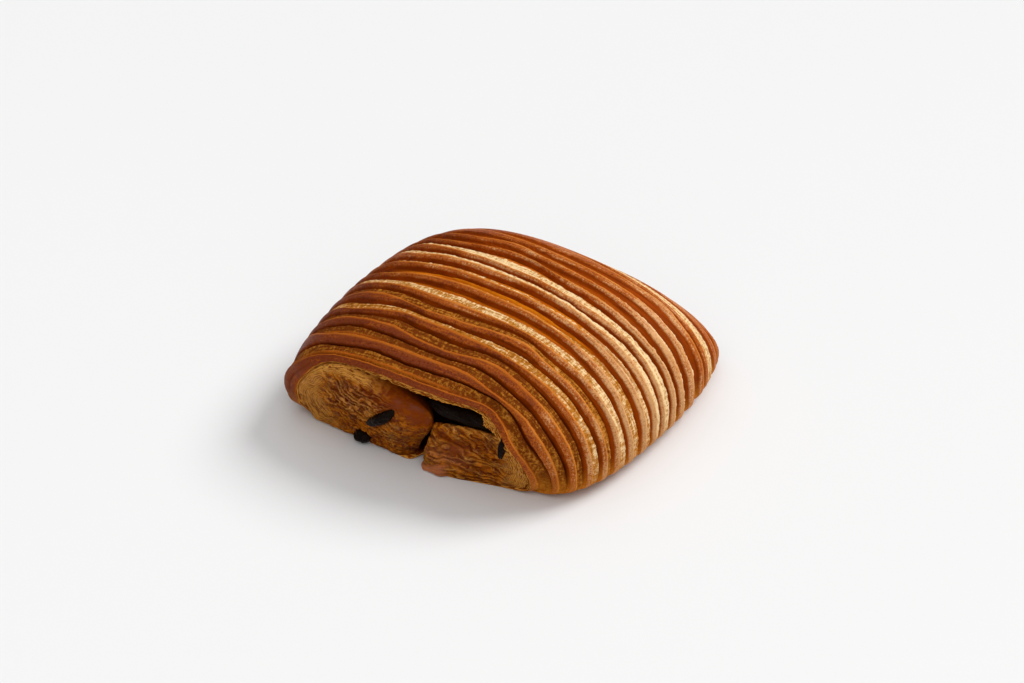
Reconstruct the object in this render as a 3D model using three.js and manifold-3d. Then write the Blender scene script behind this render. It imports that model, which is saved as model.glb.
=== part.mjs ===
// A pain au chocolat: one rolled piece of laminated dough whose skin is scored into raised ridges,
// open at both ends of the roll, with two batons of chocolate that run through it.
// Millimetres, +Z up. The roll's axis lies along Y and the open end with most chocolate faces -Y.
import * as THREE from 'three';
import Module from 'manifold-3d';
import { mergeVertices } from 'three/addons/utils/BufferGeometryUtils.js';

// Outer form, measured over the crests of the ridges.
const WIDTH = 114.5;
const BODY_LENGTH = 99.2;
const HEIGHT = 43;
const CENTRE_Y = 1.51; // moves the roll so that its box is centred on the origin
// Each side: width left at the front and back end, how late it falls off towards the front, the
// exponents of the section's side and crown, and how much squarer the section gets at the front.
const LEFT = { front: 0.90, fall: 2.5, back: 0.80, side: 2.6, crown: 2.0, square: 0 };
const RIGHT = { front: 0.755, fall: 3.0, back: 0.825, side: 2.55, crown: 1.97, square: 0.82 };
const BACK_FALL = 2.3;
const HEIGHT_FRONT = { share: 0.775, fall: 2.2 };
const HEIGHT_BACK = { share: 0.46, fall: 2.3 };
const WIDEST_AT = 0.27; // height of the widest place, as a share of the height there
const BASE_CORNER = 4.5; // exponent of the rounding into the underside
const BASE_FLAT = 1.06; // how far the underside is pressed flat
const SKEW = -0.043; // the ridges lean back a little from right to left
// The open end overhangs its base, and more so from x = from to x = to. The heights left and right
// are where the overhang ends on either side.
const LEAN = { base: 3.7, foot: 5.5, from: 8, to: 34.5, left: 16, right: 31, reach: 1.03 };
const LEAN_TURN = { from: -30, to: 5 };
const SHOULDER = { back: 4.3, at: 61, width: 20 }; // the arch's right shoulder draws back

// Ridges, from the open end to the far end: place of the crest along the roll, then the shares of the
// step to the next crest that the torn strip and the smooth wall take. The flat band takes the rest.
const RIDGES = [
  [-52.8, 0.40, 0.18],
  [-44.9, 0.38, 0.18],
  [-38.4, 0.34, 0.18],
  [-32.8, 0.28, 0.20],
  [-26.8, 0.22, 0.25],
  [-21.7, 0.42, 0.20],
  [-14.8, 0.28, 0.30],
  [-8.6, 0.20, 0.25],
  [-3.2, 0.36, 0.20],
  [1.5, 0.38, 0.22],
  [7.5, 0.12, 0.42],
  [13.0, 0.12, 0.42],
  [19.3, 0.12, 0.42],
  [26.1, 0.16, 0.38],
  [31.3, 0.20, 0.34],
  [36.2, 0.16, 0.36],
  [40.7, 0.18, 0.34],
  [45.1, 0.18, 0.34],
  [49.4, 0.18, 0.34],
];
// Bends of single ridges: ridge number from the open end, angle round the section in degrees (0 at
// the right side, 90 on the crown), shift along the roll, half width of the bend in degrees.
const BENDS = [
  [2, 0, -1.6, 16],
  [3, 88, -1.6, 12],
  [3, 66, 1.6, 12],
  [5, 97, -2.0, 10],
  [5, 68, 1.8, 12],
  [7, 125, -1.5, 15],
  [10, 128, 2.0, 15],
  [11, 94, 2.2, 13],
  [12, 98, 2.2, 13],
  [13, 116, 2.6, 16],
  [14, 100, 3.0, 14],
];
const WANDER = 0.35; // the slow waviness of every ridge
const GROOVE_RUN = 0.1; // share of the step in which the strip falls into the groove
const RIDGE_DEPTH = 2.0;
const STRIP_DROP = 0.9; // fall over the torn strip behind a crest
const WALL_TOP_DROP = 0.45; // the front edge of a band lies this far under its crest
const FIRST_BAND = 2.6; // the band in front of the first crest
const LAST_STRIP = 1.4; // the strip behind the last crest
const FADE_LOW = 0.6; // the ridges run out between these heights over the ground
const FADE_HIGH = 4.5;

// The open ends, seen from the front: two rolled lumps under the arch of the outer sheet, with a notch
// between them at the base and a mouth above the right one.
const END_PLANE = -55; // the front end at its top
const END_CENTRE = { x: 6, z: 14 };
const LIP = 2.2; // thickness of the outer sheet's cut edge
const LIP_INSET = 0.5;
const LIP_STEP = 1.4; // the step from the lip to the lumps takes this much of the way in
const ROLL_FACE = { x: -14, z: 13, wide: 16, high: 10, bulge: 1.9, inset: 0.9, turn: 9, round: 3.4 };
const ROLL_LEAVES = { pitch: 6, depth: 0.45 }; // the leaves of dough wind round the roll
const ROLL_SIDE = { x: 7.2, z: 19.3, above: 0.14, below: 0.03 }; // right side of the left roll
const BLOCK_FACE = { low: 0.4, lean: 2.2, high: 20, edge: 2.4, round: 1.2 };
const BLOCK_LEAVES = { pitch: 5.5, depth: 0.4, slope: 0.25 };
const BLOCK_SIDE = { low: 3, high: 6.6, from: 4, to: 17 }; // left side of the right roll
const BLOCK_TOP = { z: 17, rise: 5.2, x: 7, run: 10 };
const NOTCH = { depth: 8, wall: 2.2, from: 15, to: 20 };
const MOUTH = { right: 34.5, from: 42, to: 94, step: 4, side: 6, floor: 7, depth: 12, before: 8 };
const BACK_PLANE = 50.8; // the far end is finished like the front one, but lower
const FRONT_END = { plane: END_PLANE, facing: -1, wide: 1, high: 1, lean: 1.194 };
const BACK_END = { plane: BACK_PLANE, facing: 1, wide: 0.93, high: 0.64, lean: 0 };
const SEAM = { x: 0.8, half: 2.2, depth: 5.5, run: 16, lift: 1.2, fade: 4 }; // where the rolls meet below

// Chocolate.
const CLEAR = 0.3; // gap between the chocolate and the dough round it
const BATON_RIGHT = { x: 19.0, z: 22.8, half: 12.8, thick: 2.6, tilt: 5, blunt: 2.6, end: -49.8 };
const BATON_LEFT = { x: -9.3, z: 14.3, half: 8.2, thick: 2.1, tilt: 36, blunt: 1.5, end: -54.0 };
const BATON_BACK = { x: 0.94, z: 0.58, size: 0.78, end: 48.6 }; // place and size at the far end
const BATON_UNEVEN = 0.06;
const BATON_ENDS = { share: 0.72, run: 3, tip: 0.6, backTip: 0.4 }; // the ends are rounded off
const BATON_EDGE = 2.2; // exponent of the section's flat sides
const DRIP = { x: -19.8, y: -50.7, z: 2.7, rx: 3.1, ry: 2.2, rz: 1.9 };
const SMEAR = { x: 33.6, y: -51, z: 19.3, rx: 1.0, ry: 1.6, rz: 3.1 };

// Fineness of the surfaces.
const UPPER_COLUMNS = 35;
const UPPER_FROM = -25;
const UPPER_TO = 205;
const UNDER_LEFT = [-0.9, -0.8, -0.6, -0.38, -0.18, -0.07, -0.02]; // shares of the half width
const UNDER_RIGHT = [0.02, 0.06, 0.1, 0.25, 0.45, 0.68, 0.84];
const END_INSETS = [1.3, 2.6, 3.6];
const END_RINGS = 8;
const END_BLEND = 0.6; // share of the way in where the rim's own line has run out
const BATON_STATIONS = [0, 0.012, 0.03, 0.12, 0.25, 0.4, 0.55, 0.7, 0.85, 0.97, 0.988, 1];
const BATON_COLUMNS = 24;
const LUMP_COLUMNS = 14;
const LUMP_ROWS = 9;
const SLOPE_STEP = { s: 0.004, degrees: 0.4 };

const { degToRad: rad, lerp } = THREE.MathUtils;
const smooth = (from, to, v) => THREE.MathUtils.smoothstep(v, from, to);
const gauss = (v) => Math.exp(-v * v);
const power = (v, exponent) => Math.sign(v) * Math.abs(v) ** exponent;

// How far the open end lies back at x and z: most at its base, and more at the right corner.
function overhang(x, z) {
  const high = lerp(LEAN.left, LEAN.right, smooth(LEAN_TURN.from, LEAN_TURN.to, x));
  const low = 1 - smooth(0, high, z);
  return low * (LEAN.base + LEAN.foot * smooth(LEAN.from, LEAN.to, x));
}

// The form over the crests: s runs from -1 at the open end to 1 at the far end, and the angle goes
// round the section from the right side over the crown.
function envelope(s, degrees) {
  const angle = rad(degrees);
  const c = Math.cos(angle);
  const up = Math.sin(angle);
  const side = c > 0 ? RIGHT : LEFT;
  const reach = Math.abs(s);
  const fall = s < 0 ? (1 - side.front) * reach ** side.fall : (1 - side.back) * reach ** BACK_FALL;
  const half = (WIDTH / 2) * (1 - fall);
  const drop = s < 0 ? HEIGHT_FRONT : HEIGHT_BACK;
  const high = HEIGHT * (1 - (1 - drop.share) * reach ** drop.fall);
  const widest = WIDEST_AT * high;
  let x = half * power(c, 2 / BASE_CORNER);
  let z = Math.max(0, widest * (1 - BASE_FLAT * Math.abs(up) ** (2 / BASE_CORNER)));
  const front = Math.min(Math.max(-s, 0), LEAN.reach);
  if (up > 0) {
    const squarer = side.square * front ** 4;
    x = half * power(c, 2 / (side.side + squarer));
    z = widest + (high - widest) * up ** (2 / (side.crown + squarer / 5));
  }
  let y = (s * BODY_LENGTH) / 2 + SKEW * x;
  y += overhang(x, z) * front ** 6;
  y += SHOULDER.back * front ** 8 * gauss((degrees - SHOULDER.at) / SHOULDER.width);
  return new THREE.Vector3(x, y, z);
}

function outward(s, degrees) {
  const step = SLOPE_STEP;
  const along = envelope(s + step.s, degrees).sub(envelope(s - step.s, degrees));
  const round = envelope(s, degrees + step.degrees).sub(envelope(s, degrees - step.degrees));
  return along.cross(round).normalize();
}

// The place of ridge number n along the roll at this angle.
function crest(n, degrees) {
  let y = RIDGES[n][0];
  y += WANDER * Math.sin(rad(degrees * 3.1) + n * 2.4) * Math.sin(rad(degrees) + n * 1.3);
  for (const [ridge, at, shift, width] of BENDS) {
    if (ridge === n + 1) {
      y += shift * gauss((degrees - at) / width);
    }
  }
  return y;
}

// One point of the skin: its place along the roll and how far it lies under the crests.
function skinPoint(place, drop, degrees) {
  const s = (2 * place) / BODY_LENGTH;
  const point = envelope(s, degrees);
  const depth = drop * smooth(FADE_LOW, FADE_HIGH, point.z);
  point.addScaledVector(outward(s, degrees), -depth);
  const under = 1 - smooth(0, SEAM.fade, point.z);
  const seam = gauss((point.x - SEAM.x) / SEAM.half) * under;
  const fromFront = Math.max(0, place - END_PLANE);
  const fromBack = Math.max(0, BACK_PLANE - place);
  point.z += SEAM.lift * seam;
  point.y += SEAM.depth * seam * (Math.exp(-fromFront / SEAM.run) - Math.exp(-fromBack / SEAM.run));
  return point;
}

// The rows of the skin from the open end to the far end, each as a place and a drop by the angle.
function skinRows() {
  const rows = [(degrees) => [crest(0, degrees) - FIRST_BAND, WALL_TOP_DROP]];
  RIDGES.forEach(([, strip, wall], n) => {
    rows.push((degrees) => [crest(n, degrees), 0]);
    if (n + 1 === RIDGES.length) {
      rows.push((degrees) => [crest(n, degrees) + LAST_STRIP, STRIP_DROP]);
      return;
    }
    const between = (share, degrees) => {
      const here = crest(n, degrees);
      return here + share * (crest(n + 1, degrees) - here);
    };
    rows.push((degrees) => [between(strip, degrees), STRIP_DROP]);
    rows.push((degrees) => [between(strip + GROOVE_RUN, degrees), RIDGE_DEPTH]);
    rows.push((degrees) => [between(strip + wall, degrees), WALL_TOP_DROP]);
  });
  return rows;
}

// The angles of the columns: even round the sides and crown, then across the underside.
function columnAngles() {
  const angles = [];
  for (let i = 0; i < UPPER_COLUMNS; i += 1) {
    angles.push(UPPER_FROM + ((UPPER_TO - UPPER_FROM) * i) / (UPPER_COLUMNS - 1));
  }
  for (const share of [...UNDER_LEFT, ...UNDER_RIGHT]) {
    const tilt = THREE.MathUtils.radToDeg(Math.acos(Math.abs(share) ** (BASE_CORNER / 2)));
    angles.push(share < 0 ? 180 + tilt : 360 - tilt);
  }
  return angles;
}

// The height of the right roll's top, under the mouth.
function blockTop(x) {
  const along = Math.max(0, x - BLOCK_TOP.x) / BLOCK_TOP.run;
  return BLOCK_TOP.z + BLOCK_TOP.rise * (1 - Math.exp(-along));
}

// The right side of the left roll.
function rollSide(z) {
  const bend = z > ROLL_SIDE.z ? ROLL_SIDE.above : ROLL_SIDE.below;
  return ROLL_SIDE.x - bend * (z - ROLL_SIDE.z) ** 2;
}

// The left side of the right roll.
function blockSide(z) {
  return lerp(BLOCK_SIDE.low, BLOCK_SIDE.high, smooth(BLOCK_SIDE.from, BLOCK_SIDE.to, z));
}

// How far the left roll's face lies behind the end plane: it bulges, turns away at its right side
// and is wound of leaves.
function rollDepth(x, z) {
  const across = x - ROLL_FACE.x;
  const up = z - ROLL_FACE.z;
  const bulge = ROLL_FACE.bulge * gauss(across / ROLL_FACE.wide) * gauss(up / ROLL_FACE.high);
  const turn = ROLL_FACE.round * smooth(-ROLL_FACE.turn, 0, x - rollSide(z)) ** 2;
  const winding = (2 * Math.PI * Math.hypot(across, up * 1.6)) / ROLL_LEAVES.pitch;
  const leaf = ROLL_LEAVES.depth * Math.sin(winding + Math.atan2(up, across));
  return ROLL_FACE.inset - bulge + turn + leaf;
}

// The same for the right roll, a flatter block whose leaves lie nearly level.
function blockDepth(x, z) {
  const edge = BLOCK_FACE.round * smooth(-BLOCK_FACE.edge, 0, blockSide(z) - x);
  const level = (2 * Math.PI * (z + BLOCK_LEAVES.slope * x)) / BLOCK_LEAVES.pitch;
  const leaf = BLOCK_LEAVES.depth * Math.sin(level);
  return BLOCK_FACE.low + BLOCK_FACE.lean * smooth(0, BLOCK_FACE.high, z) + edge + leaf;
}

// How far the end lies behind its plane at x and z of the front end. The notch between the two
// rolls opens towards the base.
function endDepth(x, z) {
  const deep = 2 * NOTCH.depth * (1 - smooth(NOTCH.from, NOTCH.to, z));
  const roll = rollDepth(x, z) + deep * smooth(0, NOTCH.wall, x - rollSide(z));
  const block = blockDepth(x, z) + deep * smooth(0, NOTCH.wall, blockSide(z) - x);
  return Math.min(roll, block, NOTCH.depth);
}

// The shares of the way from the rim to the centre at which an end's rings lie.
function ringShares(far, high) {
  const shares = END_INSETS.map((inset) => (inset * high) / far);
  const last = shares[shares.length - 1];
  for (let k = 1; k < END_RINGS; k += 1) {
    shares.push(last + ((1 - last) * k) / END_RINGS);
  }
  return shares;
}

// The inner points of an end, in rings from its rim to its centre.
function endRings(rim, end) {
  const centre = new THREE.Vector3(END_CENTRE.x * end.wide, 0, END_CENTRE.z * end.high);
  const plane = (x, z) => end.plane + end.lean * overhang(x / end.wide, z / end.high);
  const rings = [];
  for (let k = 0; k < END_INSETS.length + END_RINGS - 1; k += 1) {
    rings.push(rim.map((edge) => {
      const far = Math.hypot(edge.x - centre.x, edge.z - centre.z);
      const share = ringShares(far, end.high)[k];
      const x = edge.x + (centre.x - edge.x) * share;
      const z = edge.z + (centre.z - edge.z) * share;
      const base = lerp(edge.y, plane(x, z), smooth(0, END_BLEND, share));
      const inset = (share * far) / end.high;
      const lip = LIP_INSET * smooth(0, LIP / 2, inset);
      const open = smooth(LIP, LIP + LIP_STEP, inset);
      const depth = lerp(lip, endDepth(x / end.wide, z / end.high), open);
      return new THREE.Vector3(x, base - end.facing * depth, z);
    }));
  }
  const depth = endDepth(END_CENTRE.x, END_CENTRE.z);
  centre.y = plane(centre.x, centre.z) - end.facing * depth;
  return { rings, centre };
}

// A closed body from rows of points that each run round it, with a point at either end.
function closedBody(rows, first, last) {
  const columns = rows[0].length;
  const points = [first, ...rows.flat(), last];
  const at = (row, column) => 1 + row * columns + (column % columns);
  const faces = [];
  for (let c = 0; c < columns; c += 1) {
    faces.push(0, at(0, c), at(0, c + 1));
    for (let r = 0; r + 1 < rows.length; r += 1) {
      faces.push(at(r, c), at(r + 1, c), at(r, c + 1));
      faces.push(at(r, c + 1), at(r + 1, c), at(r + 1, c + 1));
    }
    faces.push(points.length - 1, at(rows.length - 1, c + 1), at(rows.length - 1, c));
  }
  const geometry = new THREE.BufferGeometry().setFromPoints(points);
  geometry.setIndex(faces);
  return geometry;
}

function doughGeometry() {
  const angles = columnAngles();
  const skin = skinRows().map((row) => angles.map((degrees) => skinPoint(...row(degrees), degrees)));
  const front = endRings(skin[0], FRONT_END);
  const back = endRings(skin[skin.length - 1], BACK_END);
  return closedBody([...front.rings.reverse(), ...skin, ...back.rings], front.centre, back.centre);
}

// What is cut away for the mouth: between the arch, the left roll and the top of the right one.
function mouthOutline() {
  const outline = [];
  for (let degrees = MOUTH.from; degrees <= MOUTH.to; degrees += MOUTH.step) {
    const edge = envelope((2 * (crest(0, degrees) - FIRST_BAND)) / BODY_LENGTH, degrees);
    outline.push([edge.x - LIP * Math.cos(rad(degrees)), edge.z - LIP * Math.sin(rad(degrees))]);
  }
  const top = outline[outline.length - 1][1] - 1;
  for (let k = 0; k < MOUTH.side; k += 1) {
    const z = lerp(top, BLOCK_TOP.z + 1, k / (MOUTH.side - 1));
    outline.push([rollSide(z), z]);
  }
  for (let k = 1; k <= MOUTH.floor; k += 1) {
    const x = lerp(BLOCK_TOP.x, MOUTH.right, k / MOUTH.floor);
    outline.push([x, blockTop(x)]);
  }
  return outline;
}

function mouthGeometry(end) {
  const outline = mouthOutline();
  const middle = [0, 1].map((i) => outline.reduce((sum, point) => sum + point[i], 0) / outline.length);
  const at = (x, z, out) => new THREE.Vector3(x * end.wide, end.plane + end.facing * out, z * end.high);
  const row = (out, size) => outline.map(([x, z]) => {
    const [centreX, centreZ] = middle;
    return at(lerp(centreX, x, size), lerp(centreZ, z, size), out);
  });
  const rows = [
    row(MOUTH.before, 1),
    row(0.66 - MOUTH.depth, 1),
    row(-0.15 - MOUTH.depth, 0.85),
    row(-1 - MOUTH.depth, 0.5),
  ];
  const outer = at(...middle, MOUTH.before + 0.2);
  const inner = at(...middle, -1.3 - MOUTH.depth);
  return end.facing < 0
    ? closedBody(rows, outer, inner)
    : closedBody(rows.reverse(), inner, outer);
}

// A baton of chocolate, softened by baking, along the roll. Its section is a flattened oval that
// narrows at either end. It can be grown all round, for the space that it takes in the dough.
function batonGeometry(baton, grow) {
  const start = baton.end - grow;
  const stop = BATON_BACK.end + grow;
  const length = stop - start;
  const tilt = rad(baton.tilt);
  const middle = (t) => [
    baton.x * lerp(1, BATON_BACK.x, t),
    baton.z * lerp(1, BATON_BACK.z, t),
  ];
  const rows = BATON_STATIONS.map((t) => {
    const near = Math.min(t, 1 - t) * length;
    const swell = lerp(BATON_ENDS.share, 1, smooth(0, BATON_ENDS.run, near));
    const size = lerp(1, BATON_BACK.size, t) * swell;
    const [x, z] = middle(t);
    const row = [];
    for (let k = 0; k < BATON_COLUMNS; k += 1) {
      const angle = (2 * Math.PI * k) / BATON_COLUMNS;
      const uneven = size * (1 + BATON_UNEVEN * Math.sin(3 * angle + 9 * t));
      const across = (baton.half * uneven + grow) * power(Math.cos(angle), 2 / baton.blunt);
      const over = (baton.thick * uneven + grow) * power(Math.sin(angle), 2 / BATON_EDGE);
      row.push(new THREE.Vector3(
        x + across * Math.cos(tilt) - over * Math.sin(tilt),
        start + t * length,
        z + across * Math.sin(tilt) + over * Math.cos(tilt),
      ));
    }
    return row;
  });
  const tip = (t, y) => {
    const [x, z] = middle(t);
    return new THREE.Vector3(x, y, z);
  };
  return closedBody(rows, tip(0, start - BATON_ENDS.tip), tip(1, stop + BATON_ENDS.backTip));
}

// A small lump of chocolate that ran out and set.
function lumpGeometry(lump, grow) {
  const geometry = new THREE.SphereGeometry(1, LUMP_COLUMNS, LUMP_ROWS);
  geometry.scale(lump.rx + grow, lump.ry + grow, lump.rz + grow);
  geometry.translate(lump.x, lump.y, lump.z);
  return geometry;
}

const library = await Module();
library.setup();

function solid(geometry) {
  const bare = new THREE.BufferGeometry();
  bare.setAttribute('position', geometry.getAttribute('position'));
  bare.setIndex(geometry.getIndex());
  const merged = mergeVertices(bare, 1e-4);
  return new library.Manifold(new library.Mesh({
    numProp: 3,
    vertProperties: new Float32Array(merged.getAttribute('position').array),
    triVerts: new Uint32Array(merged.getIndex().array),
  }));
}

function geometryOf(body) {
  const mesh = body.getMesh();
  const geometry = new THREE.BufferGeometry();
  geometry.setAttribute('position', new THREE.BufferAttribute(new Float32Array(mesh.vertProperties), 3));
  geometry.setIndex(new THREE.BufferAttribute(new Uint32Array(mesh.triVerts), 1));
  geometry.translate(0, CENTRE_Y, 0);
  return geometry;
}

const crust = new THREE.MeshStandardMaterial({ color: 0xb5622b, roughness: 0.45, metalness: 0 });
const chocolate = new THREE.MeshStandardMaterial({ color: 0x1f130e, roughness: 0.28, metalness: 0 });

const fillings = {
  chocolate_right: (grow) => batonGeometry(BATON_RIGHT, grow),
  chocolate_left: (grow) => batonGeometry(BATON_LEFT, grow),
  chocolate_drip: (grow) => lumpGeometry(DRIP, grow),
  chocolate_smear: (grow) => lumpGeometry(SMEAR, grow),
};

const pastry = new THREE.Group();
let dough = solid(doughGeometry());
for (const end of [FRONT_END, BACK_END]) {
  dough = dough.subtract(solid(mouthGeometry(end)));
}
for (const [name, shape] of Object.entries(fillings)) {
  dough = dough.subtract(solid(shape(CLEAR)));
  const piece = new THREE.Mesh(geometryOf(solid(shape(0))), chocolate);
  piece.name = name;
  pastry.add(piece);
}
const body = new THREE.Mesh(geometryOf(dough), crust);
body.name = 'dough';
pastry.add(body);

export default pastry;
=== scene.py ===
"""A pain au chocolat: a roll of laminated dough whose skin is scored into raised ridges, with
chocolate at its open ends. Shapes are worked out in millimetres and go into the meshes in metres.
The roll's axis lies along Y, its front end faces -Y, and angles run round its section in degrees
from the right side (0) over the crown (90) to the left side (180) and under it."""
import math

import bpy
import numpy as np
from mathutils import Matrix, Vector


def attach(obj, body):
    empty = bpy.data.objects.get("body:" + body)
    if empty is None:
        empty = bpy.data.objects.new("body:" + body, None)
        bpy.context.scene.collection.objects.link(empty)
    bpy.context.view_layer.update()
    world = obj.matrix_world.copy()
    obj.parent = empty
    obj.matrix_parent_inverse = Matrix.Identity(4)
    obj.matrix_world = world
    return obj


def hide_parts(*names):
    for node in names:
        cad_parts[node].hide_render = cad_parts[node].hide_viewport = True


bl_info = {
    "name": "Pain au chocolat",
    "version": (1, 0, 0),
    "blender": (4, 5, 0),
    "location": "3D View > Sidebar > Pastry",
    "description": "Builds the fine surface of a rolled, ridged pastry with chocolate inside",
    "category": "Object",
}

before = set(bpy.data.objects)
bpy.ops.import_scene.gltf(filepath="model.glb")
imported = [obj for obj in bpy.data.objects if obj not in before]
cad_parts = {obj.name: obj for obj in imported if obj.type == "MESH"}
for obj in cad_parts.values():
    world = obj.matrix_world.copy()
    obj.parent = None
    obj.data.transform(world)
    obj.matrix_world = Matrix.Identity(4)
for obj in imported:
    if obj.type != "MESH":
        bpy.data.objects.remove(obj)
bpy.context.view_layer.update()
MM = 0.001

# The roll's outer form over the crests of its ridges.
WIDTH = 114.5
BODY_LENGTH = 99.2
HEIGHT = 43.0
CENTRE_Y = 1.51
# Each side's shares of the width that are left at the front and back ends, the power by which it
# falls off to the front, the powers of the section's side and crown, and how much squarer they
# grow at the front.
LEFT = {"front": 0.90, "fall": 2.5, "back": 0.80, "side": 2.6, "crown": 2.0, "square": 0.0}
RIGHT = {"front": 0.755, "fall": 3.0, "back": 0.825, "side": 2.55, "crown": 1.97, "square": 0.82}
BACK_FALL = 2.3
# The same shares and powers of the height.
HEIGHT_FRONT = {"share": 0.775, "fall": 2.2}
HEIGHT_BACK = {"share": 0.46, "fall": 2.3}
WIDEST_AT = 0.27
BASE_CORNER = 4.5
BASE_FLAT = 1.06
SKEW = -0.043
# The front end lies back at its base: by how much, how much more at its foot on the right and
# between which x, up to which heights at the left and right, and how far past the end it holds.
LEAN = {"base": 3.7, "foot": 5.5, "from": 8, "to": 34.5, "left": 16, "right": 31, "reach": 1.03}
LEAN_TURN = {"from": -30, "to": 5}  # x between which the left height becomes the right one
SHOULDER = {"back": 4.3, "at": 61, "width": 20}  # the front end also lies back round this angle

# Ridges from the front: place of the crest along the roll, the shares of the step to the next crest
# that the torn strip and the smooth wall take on the crown and on the right flank, how pale the
# strip is, where the groove lies, 0 straight behind the crest and 1 before the next band, and how
# amber the wall is on the crown.
PLACE, PALE, LATE, AMBER = 0, 5, 6, 7
RIDGES = [
    (-52.8, 0.50, 0.12, 0.44, 0.22, 0.35, 0.7, 0.0),
    (-45.1, 0.48, 0.15, 0.40, 0.27, 0.25, 0.7, 0.0),
    (-38.4, 0.48, 0.22, 0.42, 0.28, 0.28, 0.8, 0.1),
    (-32.8, 0.38, 0.32, 0.44, 0.28, 0.72, 0.9, 0.1),
    (-26.9, 0.42, 0.26, 0.38, 0.36, 0.36, 0.9, 0.2),
    (-21.7, 0.36, 0.42, 0.44, 0.30, 0.85, 1.0, 0.8),
    (-14.7, 0.14, 0.58, 0.40, 0.32, 0.64, 1.0, 1.0),
    (-8.7, 0.20, 0.52, 0.38, 0.32, 0.78, 1.0, 1.0),
    (-3.2, 0.34, 0.38, 0.42, 0.30, 1.00, 1.0, 0.7),
    (1.3, 0.38, 0.44, 0.42, 0.32, 1.00, 1.0, 1.0),
    (7.0, 0.08, 0.66, 0.16, 0.52, 0.85, 1.0, 0.5),
    (13.1, 0.08, 0.62, 0.14, 0.56, 0.95, 1.0, 0.2),
    (20.1, 0.08, 0.62, 0.14, 0.56, 0.95, 1.0, 0.1),
    (28.2, 0.08, 0.60, 0.10, 0.56, 0.95, 1.0, 0.0),
    (32.4, 0.42, 0.40, 0.46, 0.34, 1.00, 1.0, 0.0),
    (43.0, 0.12, 0.54, 0.16, 0.50, 0.80, 1.0, 0.0),
    (47.2, 0.12, 0.54, 0.16, 0.52, 0.80, 1.0, 0.0),
]
# Bends of single ridges: ridge number, angle, shift along the roll, half width in degrees.
BENDS = [
    (1, 145, -1.5, 14), (1, 185, -2.4, 20), (2, 153, 2.6, 14), (2, 83, 1.0, 7),
    (2, 62, -1.7, 10), (3, 91, -1.9, 8), (3, 73, 1.4, 9), (4, 122, -1.9, 14),
    (5, 97, -2.5, 12), (5, 72, 1.5, 9), (6, 150, 2.4, 14), (6, 100, -1.1, 20),
    (7, 122, -1.9, 12), (7, 85, 0.7, 12), (7, 15, -1.6, 18), (8, 115, -0.8, 12),
    (9, 140, 2.0, 12), (9, 119, -1.0, 6), (9, 60, -0.6, 12), (10, 133, 2.6, 18),
    (10, 68, -0.9, 14), (11, 130, 1.4, 10), (11, 93, 3.0, 8), (11, 10, 1.0, 20),
    (12, 130, 1.8, 10), (12, 96, 3.0, 8), (13, 120, 3.4, 18), (13, 95, 1.0, 8),
    (14, 100, 4.2, 15), (14, 51, 1.5, 9), (15, 100, 3.0, 15), (16, 104, 1.8, 15),
]
# Thin folds between ridges: ridge number, distance behind its crest, height and half width in
# millimetres, and the angles between which the fold runs.
FOLDS = [
    (1, 1.25, 0.75, 0.34, 78, 165),
    (2, 0.9, 0.4, 0.3, 100, 140),
    (7, 2.3, 0.9, 0.26, 38, 112),
    (8, 1.1, 0.5, 0.26, 20, 64),
    (11, 1.5, 1.1, 0.34, 84, 118),
    (3, 3.4, 0.8, 0.36, 20, 62),
]
FOLD_END = 12  # degrees in which a fold rises and ends
# Angles at which the right flank, the crown and the left end of the first band begin, are full,
# still are full and end.
FLANK = (-75, -45, 34, 74)
CROWN = (38, 62, 112, 134)
CURLED = (112, 162, 196, 236)
WOBBLE = {"size": 0.16, "run": 7, "fine_run": 2.3}  # small unevenness of the crests
TORN_CREST = {"size": 0.13, "run": 1.1, "from": 10}  # and tearing of those from the tenth on
# Sizes of the torn strips' relief, round the roll and along it.
TEARING = {"patch": 4.5, "fibre": (0.8, 2.6), "crumb": (1.3, 1.1), "blister": (3.4, 2.6)}
# Unevenness of the bright edges and the walls' tops, and beads along the ends of pale strips.
TEETH = {"fine": 0.10, "fine_run": 0.85, "coarse": 0.16, "coarse_run": 2.7}
BEADS = {"size": 0.34, "run": 1.7}
EDGE = {"back": 0.16, "drop": 0.08, "foot": 0.36}  # the bright edge on the rear of a crest
GROOVE_RUN = 0.1
EARLY_GROOVE = 0.46  # share of the depth of a groove that lies straight behind its crest
SHELF_TOP = 0.55  # drop at the end of the strip behind such a groove
SHELF_NOTCH = 0.5  # and how much deeper the notch there is
STRIP_LEAST = 0.6
STRIP_TOP = 0.34
STRIP_DROP = {"brown": 1.05, "pale": 0.5}
WALL_TOP_DROP = 1.05
WALL_LEAST = 0.12
# From this crest on the flank's walls are darker, as painted shade, and its bright edges wider.
WALL_SHADE = {"from": 9, "groove": 0.34}
# Amber walls sink towards the next band instead of rising to it, like lapped leaves.
OVERLAP = {"top": 1.1, "low": 2.1}
LEDGE = {"run": 0.16, "drop": 0.5}  # a band starts with a sharp ledge on top of its wall
RIM_DROP = 0.62
CREASE = {"at": 0.42, "half": 0.08, "depth": 0.5}  # along the curled part of the first band
# Width of the first band on the crown, right and left, how far it curls in at the left, and the
# angles between which its right part becomes its crown.
FIRST_BAND = {"crown": 1.7, "right": 1.3, "left": 2.2, "curl": 4.8, "from": 20, "to": 70}
LAST_STRIP = 3.6
FAR_DEPTH = {"from": 26, "to": 36, "share": 0.48}  # the relief gets shallower towards the far end
FADE = {"low": 0.4, "high": 8.5}  # and fades out between these heights over the ground
FOOT_TOP = 12.0
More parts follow.
